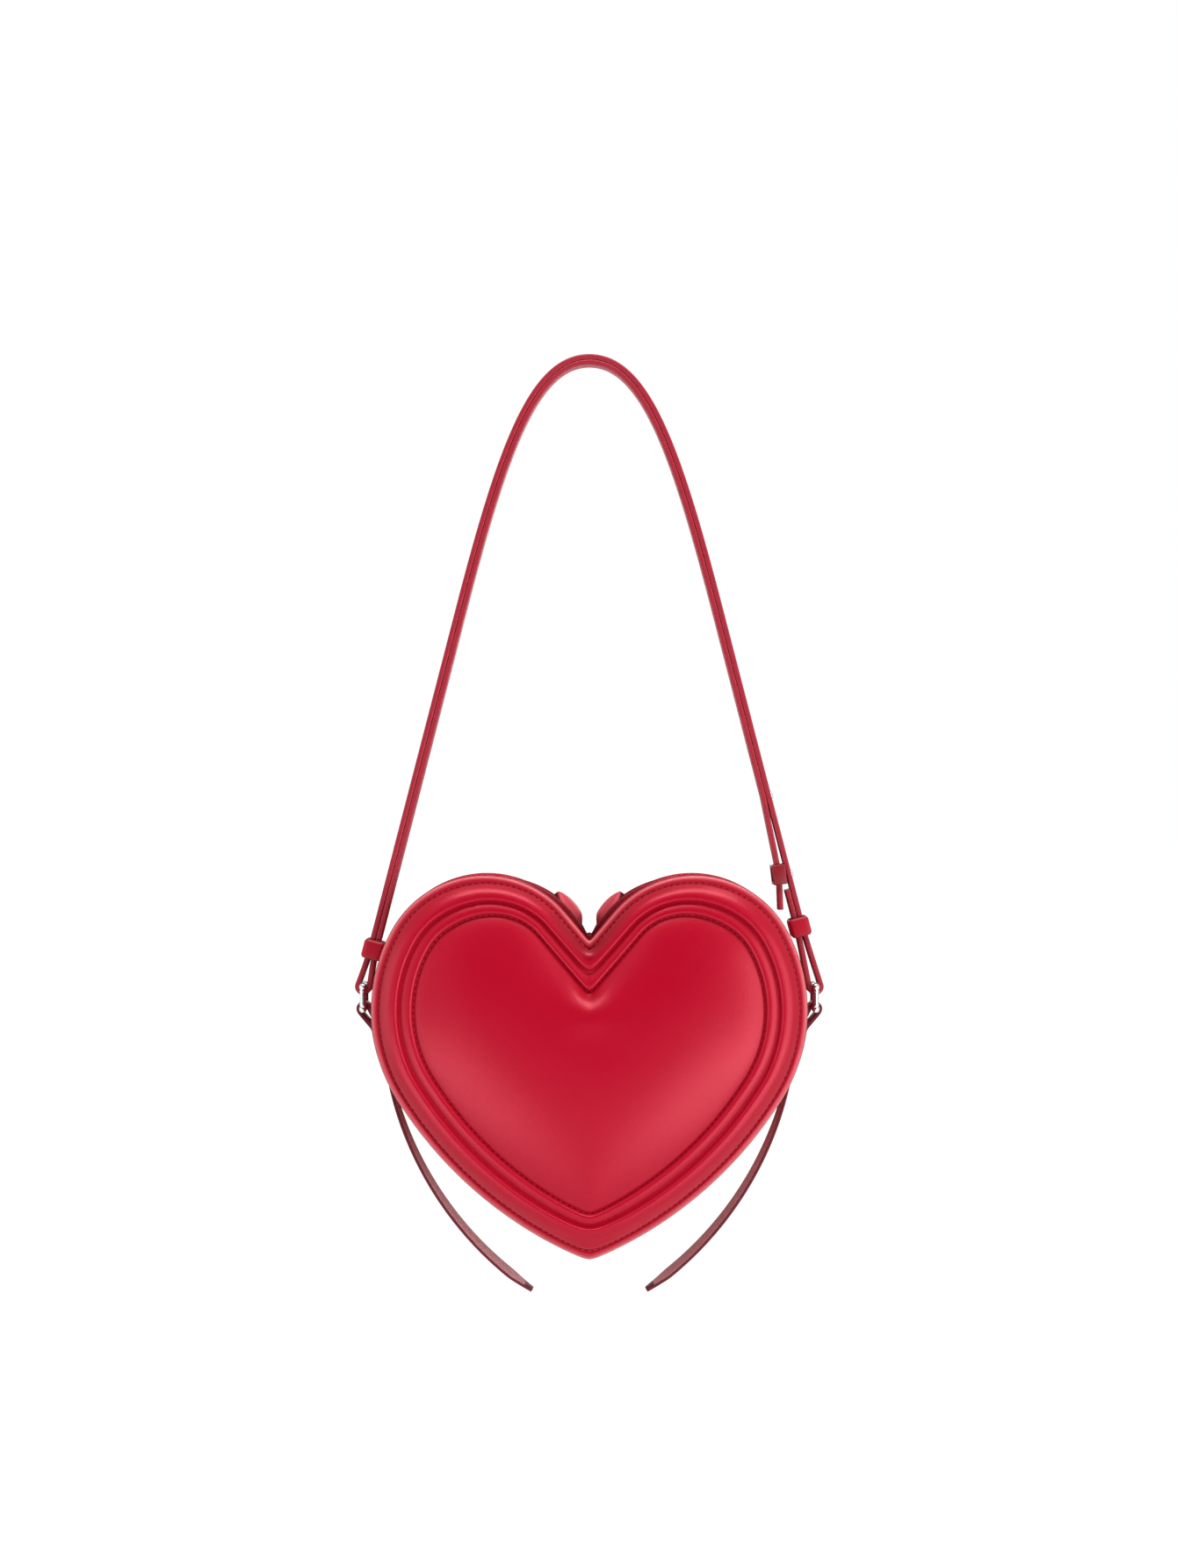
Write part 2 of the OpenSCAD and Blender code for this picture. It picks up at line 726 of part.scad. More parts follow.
// Inner ply: from the left keeper over the top, then parted from the outer ply on the right
split_p = on_leg(split_up, -ply_step / 2);
inner_bend = [ring_x - slide_x, slide_up - strap_drop];
inner_end = [ring_x - free_end_x, free_end_up - strap_drop];
module inner_strap() {
    inner_curve = beside(strap_curve, -ply_step / 2);
    right = concat(inner_curve, [split_p, inner_bend, inner_end]);
    left = concat(inner_curve, [on_leg(left_keeper_up + keeper_h + 2 * fit, -ply_step / 2)]);
    color(red) difference() {
        band(concat(across(left), [for (i = [1:len(right) - 1]) right[i]]), ply_t, strap_w);
        at_stud(upper_stud_up) cylinder(h = strap_w, r = stud_r + lay, center = true, $fn = fine);
    }
}

// Local Z points out of the strap at a height above the right ring
module at_stud(up) {
    p = on_leg(up, ply_step / 2);
    translate([p[0], 0, p[1]]) rotate([0, 90 - leg_lean, 0]) children();
}

// Stud with a shank and a domed head, drawn as the outline that is spun
module stud(shank) {
    rise = ply_t / 2 + lay;
    translate([0, 0, rise]) rotate_extrude($fn = fine) polygon(concat(
        [[0, -shank], [stud_r, -shank], [stud_r, 0]],
        [for (a = [0:15:90]) [stud_head_r * cos(a), stud_head_h * sin(a)]]));
}

module upper_stud() {
    color(silver) at_stud(upper_stud_up) stud(2 * ply_t);
}

module lower_stud() {
    color(silver) at_stud(lower_stud_up) stud(ply_t);
}

// Slide with two bars on the inner side of the inner ply and a middle bar on its other side
module strap_slide() {
    above = atan2(inner_bend[0] - split_p[0], split_p[1] - inner_bend[1]);
    below = atan2(inner_end[0] - inner_bend[0], inner_bend[1] - inner_end[1]);
    bow = slide_h / 2 * tan((above - below) / 2);
    reach = ply_t / 2 + slide_r + fit;
    color(silver) translate([inner_bend[0], 0, inner_bend[1]]) rotate([0, -(above + below) / 2, 0]) {
        for (bar = [[-reach - bow, slide_h / 2], [-reach - bow, -slide_h / 2], [reach, 0]])
            translate([bar[0], 0, bar[1]]) rotate([90, 0, 0])
                cylinder(h = slide_w + 2 * slide_r, r = slide_r, center = true, $fn = fine);
        for (y = [-slide_w / 2 - 2 * slide_r, slide_w / 2])
            translate([-reach - bow - slide_r, y, -slide_h / 2 - slide_r])
                cube([2 * (reach + slide_r) + bow, 2 * slide_r, slide_h + 2 * slide_r]);
    }
}

// Leather keeper round the two plies, in line with the leg
module rounded_slab(x, y, r, h) {
    linear_extrude(h) union() {
        square([x - 2 * r, y], center = true);
        square([x, y - 2 * r], center = true);
        for (i = [-1, 1], j = [-1, 1]) translate([i * (x / 2 - r), j * (y / 2 - r)])
            circle(r, $fn = fine);
    }
}

module keeper(up) {
    p = on_leg(up, 0);
    hole = [ply_t + ply_step + 2 * fit, strap_w + 2 * fit];
    color(red) translate([p[0], 0, p[1]]) rotate([0, -leg_lean, 0]) difference() {
        rounded_slab(hole[0] + 2 * keeper_t, hole[1] + 2 * keeper_t, keeper_t, keeper_h);
        translate([-hole[0] / 2, -hole[1] / 2, -over]) cube([hole[0], hole[1], keeper_h + 2 * over]);
    }
}

module left_keeper() {
    mirror([1, 0, 0]) keeper(left_keeper_up);
}

module right_keeper() {
    keeper(right_keeper_up);
}

front_panel();
front_foam();
front_board();
front_lining();
front_piping();
back_panel();
back_foam();
back_board();
back_lining();
back_piping();
base_gusset();
gusset_lining();
front_zip_strip();
back_zip_strip();
front_zip_tape();
back_zip_tape();
front_zip_teeth();
back_zip_teeth();
zip_stops();
left_slider();
right_slider();
left_pull_link();
right_pull_link();
left_pull_leaf();
right_pull_leaf();
left_ring_tab();
right_ring_tab();
left_ring();
right_ring();
left_tail();
right_tail();
outer_strap();
inner_strap();
strap_slide();
upper_stud();
lower_stud();
left_keeper();
right_keeper();
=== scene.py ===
import math

import bpy
import numpy as np
from mathutils import Matrix, Vector


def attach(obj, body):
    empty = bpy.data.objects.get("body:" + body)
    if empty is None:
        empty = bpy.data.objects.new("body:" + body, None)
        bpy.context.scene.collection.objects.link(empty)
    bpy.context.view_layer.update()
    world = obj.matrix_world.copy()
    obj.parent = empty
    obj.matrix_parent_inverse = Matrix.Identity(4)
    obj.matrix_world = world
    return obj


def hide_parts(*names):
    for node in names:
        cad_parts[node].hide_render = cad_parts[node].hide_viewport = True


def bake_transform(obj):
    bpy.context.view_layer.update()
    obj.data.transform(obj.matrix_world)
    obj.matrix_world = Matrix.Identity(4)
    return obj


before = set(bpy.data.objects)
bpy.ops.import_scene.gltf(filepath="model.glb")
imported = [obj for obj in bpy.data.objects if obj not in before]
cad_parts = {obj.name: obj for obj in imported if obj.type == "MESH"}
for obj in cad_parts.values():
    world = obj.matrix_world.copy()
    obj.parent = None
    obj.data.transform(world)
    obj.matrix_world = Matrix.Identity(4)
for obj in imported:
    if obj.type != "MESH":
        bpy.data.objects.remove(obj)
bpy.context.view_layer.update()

mm = 0.001
halves = (("front", -1, "front_shell"), ("back", 1, "bag"))
sides = (("left", -1), ("right", 1))


def added(addPrimitive, **settings):
    # an operator acts on all that is selected, so nothing else is
    bpy.ops.object.select_all(action="DESELECT")
    addPrimitive(**settings)
    return bpy.context.object


def placeInMesh():
    bpy.ops.object.transform_apply(location=True, rotation=True, scale=True)


# camera, lamps and background

view = {"place": (-0.0004, -1.687, -0.2023), "lens": 80, "clipEnd": 40}
camera = added(bpy.ops.object.camera_add, location=view["place"], rotation=(math.pi / 2, 0, 0))
camera.data.lens = view["lens"]
camera.data.clip_end = view["clipEnd"]
bpy.context.scene.camera = camera
bpy.context.scene.view_settings.view_transform = "Standard"

lampsAim = (0, 0, -0.34)
lamps = {
    "leftLamp": {"place": (-1.50, -0.60, -0.25), "size": (1.0, 1.1), "power": 7.0},
    "rightLamp": {"place": (1.30, -1.05, -0.32), "size": (1.0, 1.1), "power": 14.5},
    "topLamp": {"place": (0.08, -0.55, 0.90), "size": (1.30, 0.45), "power": 19},
    "leftLowLamp": {"place": (-0.50, -0.75, -0.66), "size": (0.60, 0.36), "power": 2.8},
    "rightLowLamp": {"place": (0.50, -0.75, -0.66), "size": (0.60, 0.36), "power": 3.6},
    "backLamp": {"place": (0.3, 1.6, 0.30), "size": (1.6, 1.2), "power": 9},
}
for lampName, lamp in lamps.items():
    light = added(bpy.ops.object.light_add, type="AREA", location=lamp["place"])
    light.name = lampName
    light.data.shape = "RECTANGLE"
    light.data.size, light.data.size_y = lamp["size"]
    light.data.energy = lamp["power"]
    aim = Vector(lampsAim) - light.location
    light.rotation_euler = aim.to_track_quat("-Z", "Y").to_euler()


class Flow:  # a shader socket that can stand in a sum
    def __init__(self, finish, socket):
        self.finish = finish
        self.socket = socket

    def reckon(self, operation, first, second):
        return self.finish.node("Math", {"operation": operation}, {0: first, 1: second})

    def __add__(self, other): return self.reckon("ADD", self, other)
    def __radd__(self, other): return self.reckon("ADD", other, self)
    def __mul__(self, other): return self.reckon("MULTIPLY", self, other)
    def __rmul__(self, other): return self.reckon("MULTIPLY", other, self)
    def __gt__(self, other): return self.reckon("GREATER_THAN", self, other)


class Finish:  # the nodes of one material or of the world
    def __init__(self, owner):
        self.owner = owner
        owner.use_nodes = True
        self.tree = owner.node_tree

    def node(self, kind, settings=None, inputs=None, out=0):
        made = self.tree.nodes.new("ShaderNode" + kind)
        for key, value in (settings or {}).items():
            setattr(made, key, value)
        for key, value in (inputs or {}).items():
            self.feed(made.inputs[key], value)
        return Flow(self, made.outputs[out])

    def feed(self, socket, value):
        if isinstance(value, Flow):
            self.tree.links.new(value.socket, socket)
        elif socket.type == "RGBA" and len(value) == 3:
            socket.default_value = (*value, 1)
        else:
            socket.default_value = value

    def outputs(self, kind, inputs=None):
        return [Flow(self, socket) for socket in self.node(kind, {}, inputs).socket.node.outputs]

    def mix(self, share, first, second):
        return self.node("Mix", {"data_type": "RGBA"}, {0: share, 6: first, 7: second}, out=2)

    def noise(self, scale, detail=3.0, roughness=0.5):
        return self.node("TexNoise", {}, {"Vector": self.places(), "Scale": scale,
                                          "Detail": detail, "Roughness": roughness})

    def places(self):
        return self.node("TexCoord", out="Object")

    def attribute(self, name):
        return self.node("Attribute", {"attribute_name": name}, out="Fac")

    def sine(self, angle):
        return self.node("Math", {"operation": "SINE"}, {0: angle})

    def bump(self, height, strength, distance):
        return self.node("Bump", {}, {"Height": height, "Strength": strength, "Distance": distance})


def surface(name, constants, varying=None):
    # varying is a function that takes the finish and returns the linked sockets
    finish = Finish(bpy.data.materials.new(name))
    shader = finish.tree.nodes["Principled BSDF"]
    linked = varying(finish) if varying else {}
    for key, value in {**constants, **linked}.items():
        finish.feed(shader.inputs[key], value)
    return finish.owner


studio = {"ambient": 0.22, "backdrop": 1.0,
          "floorGlow": 0.965, "floorTone": 0.6, "floorZ": -0.80, "floorSize": 60,
          "clothSize": (1.7, 3.0), "clothFar": 2.2, "clothZ": 0.95, "clothTone": 0.02}


def seenDirectly(finish):
    seen = {flow.socket.name: flow for flow in finish.outputs("LightPath")}
    return seen["Is Camera Ray"] + seen["Is Glossy Ray"] + seen["Is Transmission Ray"] > 0.5


backdrop = Finish(bpy.data.worlds.new("studio"))
bpy.context.scene.world = backdrop.owner
backdrop.tree.nodes.clear()
ambient, white = (backdrop.node("Background", {}, {"Color": (1, 1, 1), "Strength": studio[key]})
                  for key in ("ambient", "backdrop"))
both = backdrop.node("MixShader", {}, {0: seenDirectly(backdrop), 1: ambient, 2: white})
worldEnd = backdrop.tree.nodes.new("ShaderNodeOutputWorld")
backdrop.feed(worldEnd.inputs["Surface"], both)

floor = added(bpy.ops.mesh.primitive_plane_add, size=studio["floorSize"],
              location=(0, 0, studio["floorZ"]))
floor.name = "floor"


def floorNodes(finish):
    return {"Emission Strength": seenDirectly(finish) * studio["floorGlow"]}


floor.data.materials.append(surface("paleFloor", {
    "Base Color": (studio["floorTone"],) * 3, "Roughness": 0.9, "Specular IOR Level": 0.0,
    "Emission Color": (1, 1, 1)}, floorNodes))

# dark cloths, unseen by the camera, that keep the middle of a panel deep
darkCloth = surface("darkCloth", {"Base Color": (studio["clothTone"],) * 3, "Roughness": 0.95,
                                  "Specular IOR Level": 0.0})
for name, way, _ in halves:
    cloth = added(bpy.ops.mesh.primitive_plane_add, size=1, rotation=(math.pi / 2, 0, 0),
                  location=(0, way * studio["clothFar"], studio["clothZ"]))
    cloth.name = name + "Cloth"
    cloth.scale = (*studio["clothSize"], 1)
    bpy.ops.object.transform_apply(location=False, rotation=True, scale=True)
    cloth.visible_camera = False
    cloth.data.materials.append(darkCloth)
print("stage: camera, lamps and floor")

# finishes

# deep is both the leather's random darker tone and the painted shade in the panels' creases
redLeather = {"red": (0.335, 0.0016, 0.0145), "deep": (0.215, 0.0005, 0.0065),
              # the pale tone on the next line is a painted highlight along the panels' rims
              "paleHighlight": (0.600, 0.1700, 0.1900), "paintedShadeTone": (0.085, 0.0004, 0.0030),
              # the near-black tone on the line above is a painted shade round the cleft
              "rough": 0.31, "specular": 0.64, "tint": (1.0, 0.245, 0.30),
              "cloud": 38, "fleck": 420, "grain": 1500, "porePerGrain": 2.2,
              "relief": (0.35, 0.00008)}
stripLook = dict(redLeather, rough=0.62, specular=0.12)
strapLook = dict(redLeather, red=(0.340, 0.0040, 0.0160), rough=0.46, grain=1800)
# the pulls' leather is painted lighter: a painted highlight for the light falling on their tops
pullPaintedLitLook = dict(redLeather, red=(0.520, 0.0480, 0.0720), rough=0.40, grain=1800)


def leather(name, look, creases=False):
    def varying(finish):
        cloud = finish.noise(look["cloud"], 2.0)
        fleck = finish.noise(look["fleck"], 2.0)
        red = finish.mix(cloud * 0.10 + fleck * 0.08, look["red"], look["deep"])
        rough = look["rough"] - 0.06 + cloud * 0.08 + fleck * 0.05
        if creases:
            # painted shade: the creases are darkened towards deep, where shade falls in the grooves
            crease = finish.attribute("crease")
            rough = rough + crease * 0.1
            red = finish.mix(crease * 0.75, red, look["deep"])
            # painted highlight: a pale band along the rim, patchy with the cloud
            red = finish.mix(finish.attribute("wear") * (0.35 + cloud * 0.9), red, look["paleHighlight"])
            # painted shade round the cleft, towards the near-black tone
            red = finish.mix(finish.attribute("shade"), red, look["paintedShadeTone"])
        pebble = finish.node("TexVoronoi", {"feature": "SMOOTH_F1"}, {
            "Vector": finish.places(), "Scale": look["grain"], "Smoothness": 0.6})
        pore = finish.noise(look["grain"] * look["porePerGrain"], 2.0)
        relief = finish.bump(pebble + pore * 0.4, *look["relief"])
        return {"Base Color": red, "Roughness": rough, "Normal": relief}
    return surface(name, {"Specular IOR Level": look["specular"],
                          "Specular Tint": look["tint"]}, varying)


mouldedLeather = leather("mouldedLeather", redLeather, creases=True)
sideLeather = leather("sideLeather", redLeather)
stripLeather = leather("stripLeather", stripLook, creases=True)
strapLeather = leather("strapLeather", strapLook)
pullPaintedLitLeather = leather("pullPaintedLitLeather", pullPaintedLitLook)


def speckled(name, look, specular):
    # two tones mixed by a speckle that also roughens, and a relief of its own
    def varying(finish):
        speck = finish.noise(*look["speck"])
        wave = finish.noise(*look["wave"])
        return {"Base Color": finish.mix(speck * look["share"], *look["tones"]),
                "Roughness": look["rough"] + speck * look["rougher"],
                "Normal": finish.bump(wave, *look["relief"])}
    return surface(name, {"Specular IOR Level": specular}, varying)


edgePaint = {"tones": ((0.085, 0.0045, 0.0110), (0.140, 0.0090, 0.0200)), "share": 1.0,
             "speck": (260,), "rough": 0.45, "rougher": 0.2, "wave": (500, 2.0),
             "relief": (0.15, 0.00005)}
plyEdge = {"tones": ((0.34, 0.0110, 0.0280), (0.120, 0.0030, 0.0080)), "share": 0.7,
           "speck": (300,), "rough": 0.34, "rougher": 0.2, "wave": (900, 2.0),
           "relief": (0.4, 0.0001)}
lacquer = {"tones": ((0.170, 0.0030, 0.0090), (0.260, 0.0120, 0.0200)), "share": 0.35,
           "speck": (500,), "rough": 0.34, "rougher": 0.15, "wave": (500,),
           "relief": (0.1, 0.00005)}
board = {"tones": ((0.40, 0.34, 0.27), (0.25, 0.20, 0.15)), "share": 1.0,
         "speck": (1500, 4.0, 0.6), "rough": 0.85, "rougher": 0.1, "wave": (1500, 4.0, 0.6),
         "relief": (0.4, 0.0002)}
paintedEdge = speckled("paintedEdge", edgePaint, 0.2)
strapEdge = speckled("strapEdge", plyEdge, 0.35)
lacqueredMetal = speckled("lacqueredMetal", lacquer, 0.35)
pressedBoard = speckled("pressedBoard", board, 0.2)

suede = {"pale": (0.640, 0.370, 0.370), "dull": (0.470, 0.210, 0.215), "nap": 2600, "cloud": 60}


def suedeNodes(finish):
    nap = finish.noise(suede["nap"], 3.0, 0.6)
    cloud = finish.noise(suede["cloud"], 2.0)
    return {"Base Color": finish.mix(nap * 0.25 + cloud * 0.35, suede["pale"], suede["dull"]),
            "Roughness": 0.75 + nap * 0.15, "Normal": finish.bump(nap, 0.3, 0.0001)}


tailInside = surface("tailInside", {"Specular IOR Level": 0.2}, suedeNodes)

sewingThread = {"red": (0.330, 0.0060, 0.0180), "dark": (0.165, 0.0030, 0.0090), "sheen": 0.2,
                "twist": 900}


def threadNodes(finish):
    ply = finish.node("TexWave", {"wave_type": "BANDS", "bands_direction": "DIAGONAL"}, {
        "Vector": finish.places(), "Scale": sewingThread["twist"], "Distortion": 1.5})
    return {"Base Color": finish.mix(ply * 0.5, sewingThread["red"], sewingThread["dark"]),
            "Roughness": 0.5 + ply * 0.2, "Normal": finish.bump(ply, 0.5, 0.0001)}


thread = surface("thread", {"Specular IOR Level": 0.3, "Sheen Weight": sewingThread["sheen"]},
                 threadNodes)

nickel = {"tone": (0.58, 0.57, 0.57), "dull": (0.33, 0.32, 0.32), "rough": 0.13, "cloud": 170,
          "rub": 2600}


def nickelNodes(finish):
    cloud = finish.noise(nickel["cloud"])
    rub = finish.noise(nickel["rub"], 2.0)
    return {"Base Color": finish.mix(cloud * 0.45, nickel["tone"], nickel["dull"]),
            "Roughness": nickel["rough"] + cloud * 0.14 + rub * 0.05,
            "Normal": finish.bump(rub, 0.12, 0.00005)}


polishedNickel = surface("polishedNickel", {"Metallic": 1.0}, nickelNodes)

tapeWeave = {"light": (0.230, 0.0060, 0.0150), "shade": (0.080, 0.0015, 0.0050),
             "pitch": 0.0009, "fuzz": 2200}


def wovenNodes(finish):
    run = finish.node("UVMap", {"uv_map": "run"})
    along, beside, _ = finish.outputs("SeparateXYZ", {"Vector": run})
    turn = 2 * math.pi / tapeWeave["pitch"]
    ribs = finish.sine(along * turn) * finish.sine(beside * turn) * 0.5 + 0.5
    fuzz = finish.noise(tapeWeave["fuzz"])
    tone = finish.mix(ribs * 0.7 + fuzz * 0.3, tapeWeave["shade"], tapeWeave["light"])
    return {"Base Color": tone, "Roughness": 0.78 + fuzz * 0.12,
            "Normal": finish.bump(ribs + fuzz * 0.3, 0.7, 0.0002)}


wovenTape = surface("wovenTape", {"Specular IOR Level": 0.2, "Sheen Weight": 0.3}, wovenNodes)

lining = {"light": (0.190, 0.020, 0.030), "shade": (0.080, 0.006, 0.010), "twill": 5200,
          "slub": 900}


def liningNodes(finish):
    across, _, up = finish.outputs("SeparateXYZ", {"Vector": finish.places()})
    twill = finish.sine((across + up) * lining["twill"])
    slub = finish.noise(lining["slub"])
    tone = finish.mix(twill * 0.2 + 0.3 + slub * 0.4, lining["light"], lining["shade"])
    return {"Base Color": tone, "Roughness": 0.7 + slub * 0.15,
            "Normal": finish.bump(twill + slub, 0.4, 0.0001)}


twillLining = surface("twillLining", {"Specular IOR Level": 0.25, "Sheen Weight": 0.2},
                      liningNodes)
print("stage: finishes")

# helpers for meshes


def inEdit(obj):
    bpy.ops.object.select_all(action="DESELECT")
    bpy.context.view_layer.objects.active = obj
    obj.select_set(True)
    bpy.ops.object.mode_set(mode="EDIT")


def editAll(obj):
    inEdit(obj)
    bpy.ops.mesh.select_all(action="SELECT")


def outOfEdit():
    bpy.ops.object.mode_set(mode="OBJECT")


def choose(obj, test):
    # selects the faces for which the test holds, in object mode
    for kind in (obj.data.edges, obj.data.vertices):
        for item in kind:
            item.select = False
    for face in obj.data.polygons:
        face.select = test(face)
        if face.select:
            for index in face.vertices:
                obj.data.vertices[index].select = True


def bevelAlong(obj, axis, least, offset):
    # rounds the edges that run further than that along an axis
    for edge in obj.data.edges:
        a, b = (obj.data.vertices[i].co for i in edge.vertices)
        edge.select = abs(a[axis] - b[axis]) > least
    inEdit(obj)
    bpy.ops.mesh.bevel(offset=offset, segments=6, affect="EDGES")
    outOfEdit()


def applied(obj, kind, **settings):
    modifier = obj.modifiers.new("shaping", kind)
    for key, value in settings.items():
        setattr(modifier, key, value)
    bpy.ops.object.modifier_apply(modifier="shaping")


def softEdges(obj, width):
    applied(obj, "BEVEL", width=width * mm, segments=3, limit_method="ANGLE",
            angle_limit=math.radians(50))


def settle(obj, smooth=40):
    # leaves the object at the origin with its place in its mesh
    bpy.ops.object.select_all(action="DESELECT")
    bpy.context.view_layer.objects.active = obj
    obj.select_set(True)
    placeInMesh()
    if smooth:
        bpy.ops.object.shade_smooth_by_angle(angle=math.radians(smooth))
    return obj


def tidyNormals(obj):
    editAll(obj)
    bpy.ops.mesh.remove_doubles(threshold=1e-7)
    bpy.ops.mesh.normals_make_consistent(inside=False)
    outOfEdit()


def joinAll(name, parts):
    bpy.ops.object.select_all(action="DESELECT")
    for part in parts:
        part.select_set(True)
    bpy.context.view_layer.objects.active = parts[0]
    if len(parts) > 1:
        bpy.ops.object.join()
    whole = bpy.context.object
    whole.name = name
    return whole


def drawn(name, places, faces, smooth, **values):
    # a mesh from its points and faces, with a value at each point for each attribute
    mesh = bpy.data.meshes.new(name)
    mesh.from_pydata(places, [], faces)
    for key, row in values.items():
        mesh.attributes.new(key, "FLOAT", "POINT").data.foreach_set("value", row)
    made = bpy.data.objects.new(name, mesh)
    bpy.context.collection.objects.link(made)
    tidyNormals(made)
    return settle(made, smooth)


def finishWith(obj, *materials):
    # clearing the slots forgets which face has which material, so that is kept
    indices = [min(face.material_index, len(materials) - 1) for face in obj.data.polygons]
    obj.data.materials.clear()
    for material in materials:
        obj.data.materials.append(material)
    obj.data.polygons.foreach_set("material_index", indices)
    return obj


def paintEdges(obj, level=0.6):
    # the faces that look to the front or back of a band are its cut edges
    for face in obj.data.polygons:
        if abs(face.normal.y) > level:
            face.material_index = 1


def placeOn(obj, body, slot, *nodes):
    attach(obj, body)
    if nodes:
        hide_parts(*nodes)
    return obj


def headings(path):
    # direction of travel at each point of a path of (x, z), unwrapped
    points = np.array(path, float)
    step = np.vstack([points[1:], points[-1:]]) - np.vstack([points[:1], points[:-1]])
    return np.unwrap(np.arctan2(step[:, 1], step[:, 0]))


def sweep(name, path, thick, width, corner, middle=0.0, rows=0, widths=None):
    # a flat band along a path of (x, z) in metres, drawn out ring by ring
    turns = headings(path)
    band = added(bpy.ops.mesh.primitive_plane_add, size=1)
    band.name = name
    editAll(band)
    bpy.ops.transform.resize(value=(thick, width, 1))
    bpy.ops.mesh.bevel(offset=corner, segments=3, affect="VERTICES")
    for cut in range(rows):
        bpy.ops.mesh.select_all(action="SELECT")
        level = width * ((cut + 1) / (rows + 1) - 0.5)
        bpy.ops.mesh.bisect(plane_co=(0, level, 0), plane_no=(0, 1, 0))
    outOfEdit()
    band.rotation_euler = (0, math.pi / 2 - turns[0], 0)
    band.location = (path[0][0], middle, path[0][1])
    placeInMesh()
    editAll(band)
    for i in range(1, len(path)):
        move = (path[i][0] - path[i - 1][0], 0, path[i][1] - path[i - 1][1])
        at = (path[i][0], middle, path[i][1])
        bpy.ops.mesh.extrude_region_move(TRANSFORM_OT_translate={"value": move})
        bpy.ops.transform.rotate(value=turns[i] - turns[i - 1], orient_axis="Y",
                                 center_override=at)
        if widths is not None:
            bpy.ops.transform.resize(value=(1, widths[i] / widths[i - 1], 1),
                                     center_override=at)
    bpy.ops.mesh.select_all(action="SELECT")
    bpy.ops.mesh.normals_make_consistent(inside=False)
    outOfEdit()
    return band


def distances(points):
    # distance along a path at each of its points
    steps = np.linalg.norm(np.diff(np.array(points, float), axis=0), axis=1)
    return np.concatenate([[0], np.cumsum(steps)])


def nearest(points, place):
    # number of the path's point that is closest to a place in X and Z
    return int(np.argmin(np.sum((points - np.array([place[0], place[2]])) ** 2, axis=1)))


def runMap(obj, path):
    # UV map of the distance along the path and the depth, in metres
    lengths = distances(path)
    near = [nearest(np.array(path, float), v.co) for v in obj.data.vertices]
    layer = obj.data.uv_layers.get("run") or obj.data.uv_layers.new(name="run")
    for loop in obj.data.loops:
        index = loop.vertex_index
        layer.data[loop.index].uv = (lengths[near[index]], obj.data.vertices[index].co.y)


def arcPoints(centre, radius, start, end, count):
    angles = np.radians(np.linspace(start, end, count + 1))
    return [(centre[0] + radius * math.cos(a), centre[1] + radius * math.sin(a)) for a in angles]


def mirrored(path):
    return [(-x, z) for x, z in reversed(path)]


def bothWays(path, way):
    # the path itself on the right, or its mirror image on the left
    return [(x * way, z) for x, z in path]


def inMetres(path, lift=0.0):
    return [(x * mm, (z + lift) * mm) for x, z in path]


def smoothly(t):
    return t * t * (3 - 2 * t)


# the heart's outline, in millimetres above its tip, as in the part's source

heart = {"lobeR": 50.4, "shoulderR": 80.0, "flankR": 196.0, "shoulderFrom": 29.0,
         "flankFrom": -32.0, "cleftSlope": 49.5, "squeeze": 0.2, "squeezeFrom": 60.0,
         "seamY": 21.7, "tipZ": -430.679, "dipFrom": 155.0, "inset": 3.0,
         "lineCount": 17, "lobeCount": 67, "sideCount": 43, "flankCount": 61, "softTop": 50}


def polar(radius, angle):
    turn = math.radians(angle)
    return np.array([radius * math.cos(turn), radius * math.sin(turn)])


lobeC = np.array([heart["lobeR"], 0.0])
sideC = lobeC - polar(heart["shoulderR"] - heart["lobeR"], heart["shoulderFrom"])
flankC = sideC - polar(heart["flankR"] - heart["shoulderR"], heart["flankFrom"])


def tipAngle(inset):
    return -math.degrees(math.acos(-flankC[0] / (heart["flankR"] - inset)))


lift = -(flankC[1] + heart["flankR"] * math.sin(math.radians(tipAngle(0))))
for centre in (lobeC, sideC, flankC):
    centre[1] += lift
cleftFrom = 90 + heart["cleftSlope"]
tipZ = heart["tipZ"]


def squeezed(inset, angle):
    # the relief is narrower towards the cleft
    share = (angle - heart["squeezeFrom"]) / (cleftFrom - heart["squeezeFrom"])
    return inset * (1 - heart["squeeze"] * smoothly(min(1.0, max(0.0, share))))


def panelHalf(inset, soft):
    # right half of the outline from the cleft to the tip; soft rounds its two corners
    start = lobeC + polar(heart["lobeR"] - squeezed(inset, cleftFrom), cleftFrom)
    bottom = start[1] - start[0] * math.tan(math.radians(heart["cleftSlope"]))
    line = [np.array([start[0] * t, bottom + (start[1] - bottom) * t])
            for t in np.linspace(0, 1, heart["lineCount"])[:-1]]
    lobe = [lobeC + polar(heart["lobeR"] - squeezed(inset, a), a)
            for a in np.linspace(cleftFrom, heart["shoulderFrom"], heart["lobeCount"])[:-1]]
    side = [sideC + polar(heart["shoulderR"] - inset, a) for a in np.linspace(
        heart["shoulderFrom"], heart["flankFrom"], heart["sideCount"])[:-1]]
    flank = [flankC + polar(heart["flankR"] - inset, a)
             for a in np.linspace(heart["flankFrom"], tipAngle(inset), heart["flankCount"])]
    tip = flank[-1][1]
    top = line + lobe
    for p in top[:heart["softTop"]]:
        p[1] = bottom + math.hypot(p[1] - bottom, soft)
    for p in flank:
        p[1] = tip + math.hypot(p[1] - tip, soft)
    return np.array(top + side + flank)


def outline(inset, soft):
    half = panelHalf(inset, soft)
    return np.vstack([half, half[-2:0:-1] * np.array([-1, 1])])


def spot(x, y, z):
    # a place in metres from millimetres above the heart's tip
    return (x * mm, y * mm, (z + tipZ) * mm)


# moulded panels: rim, stitched groove, roll, groove, inner rim and padded middle

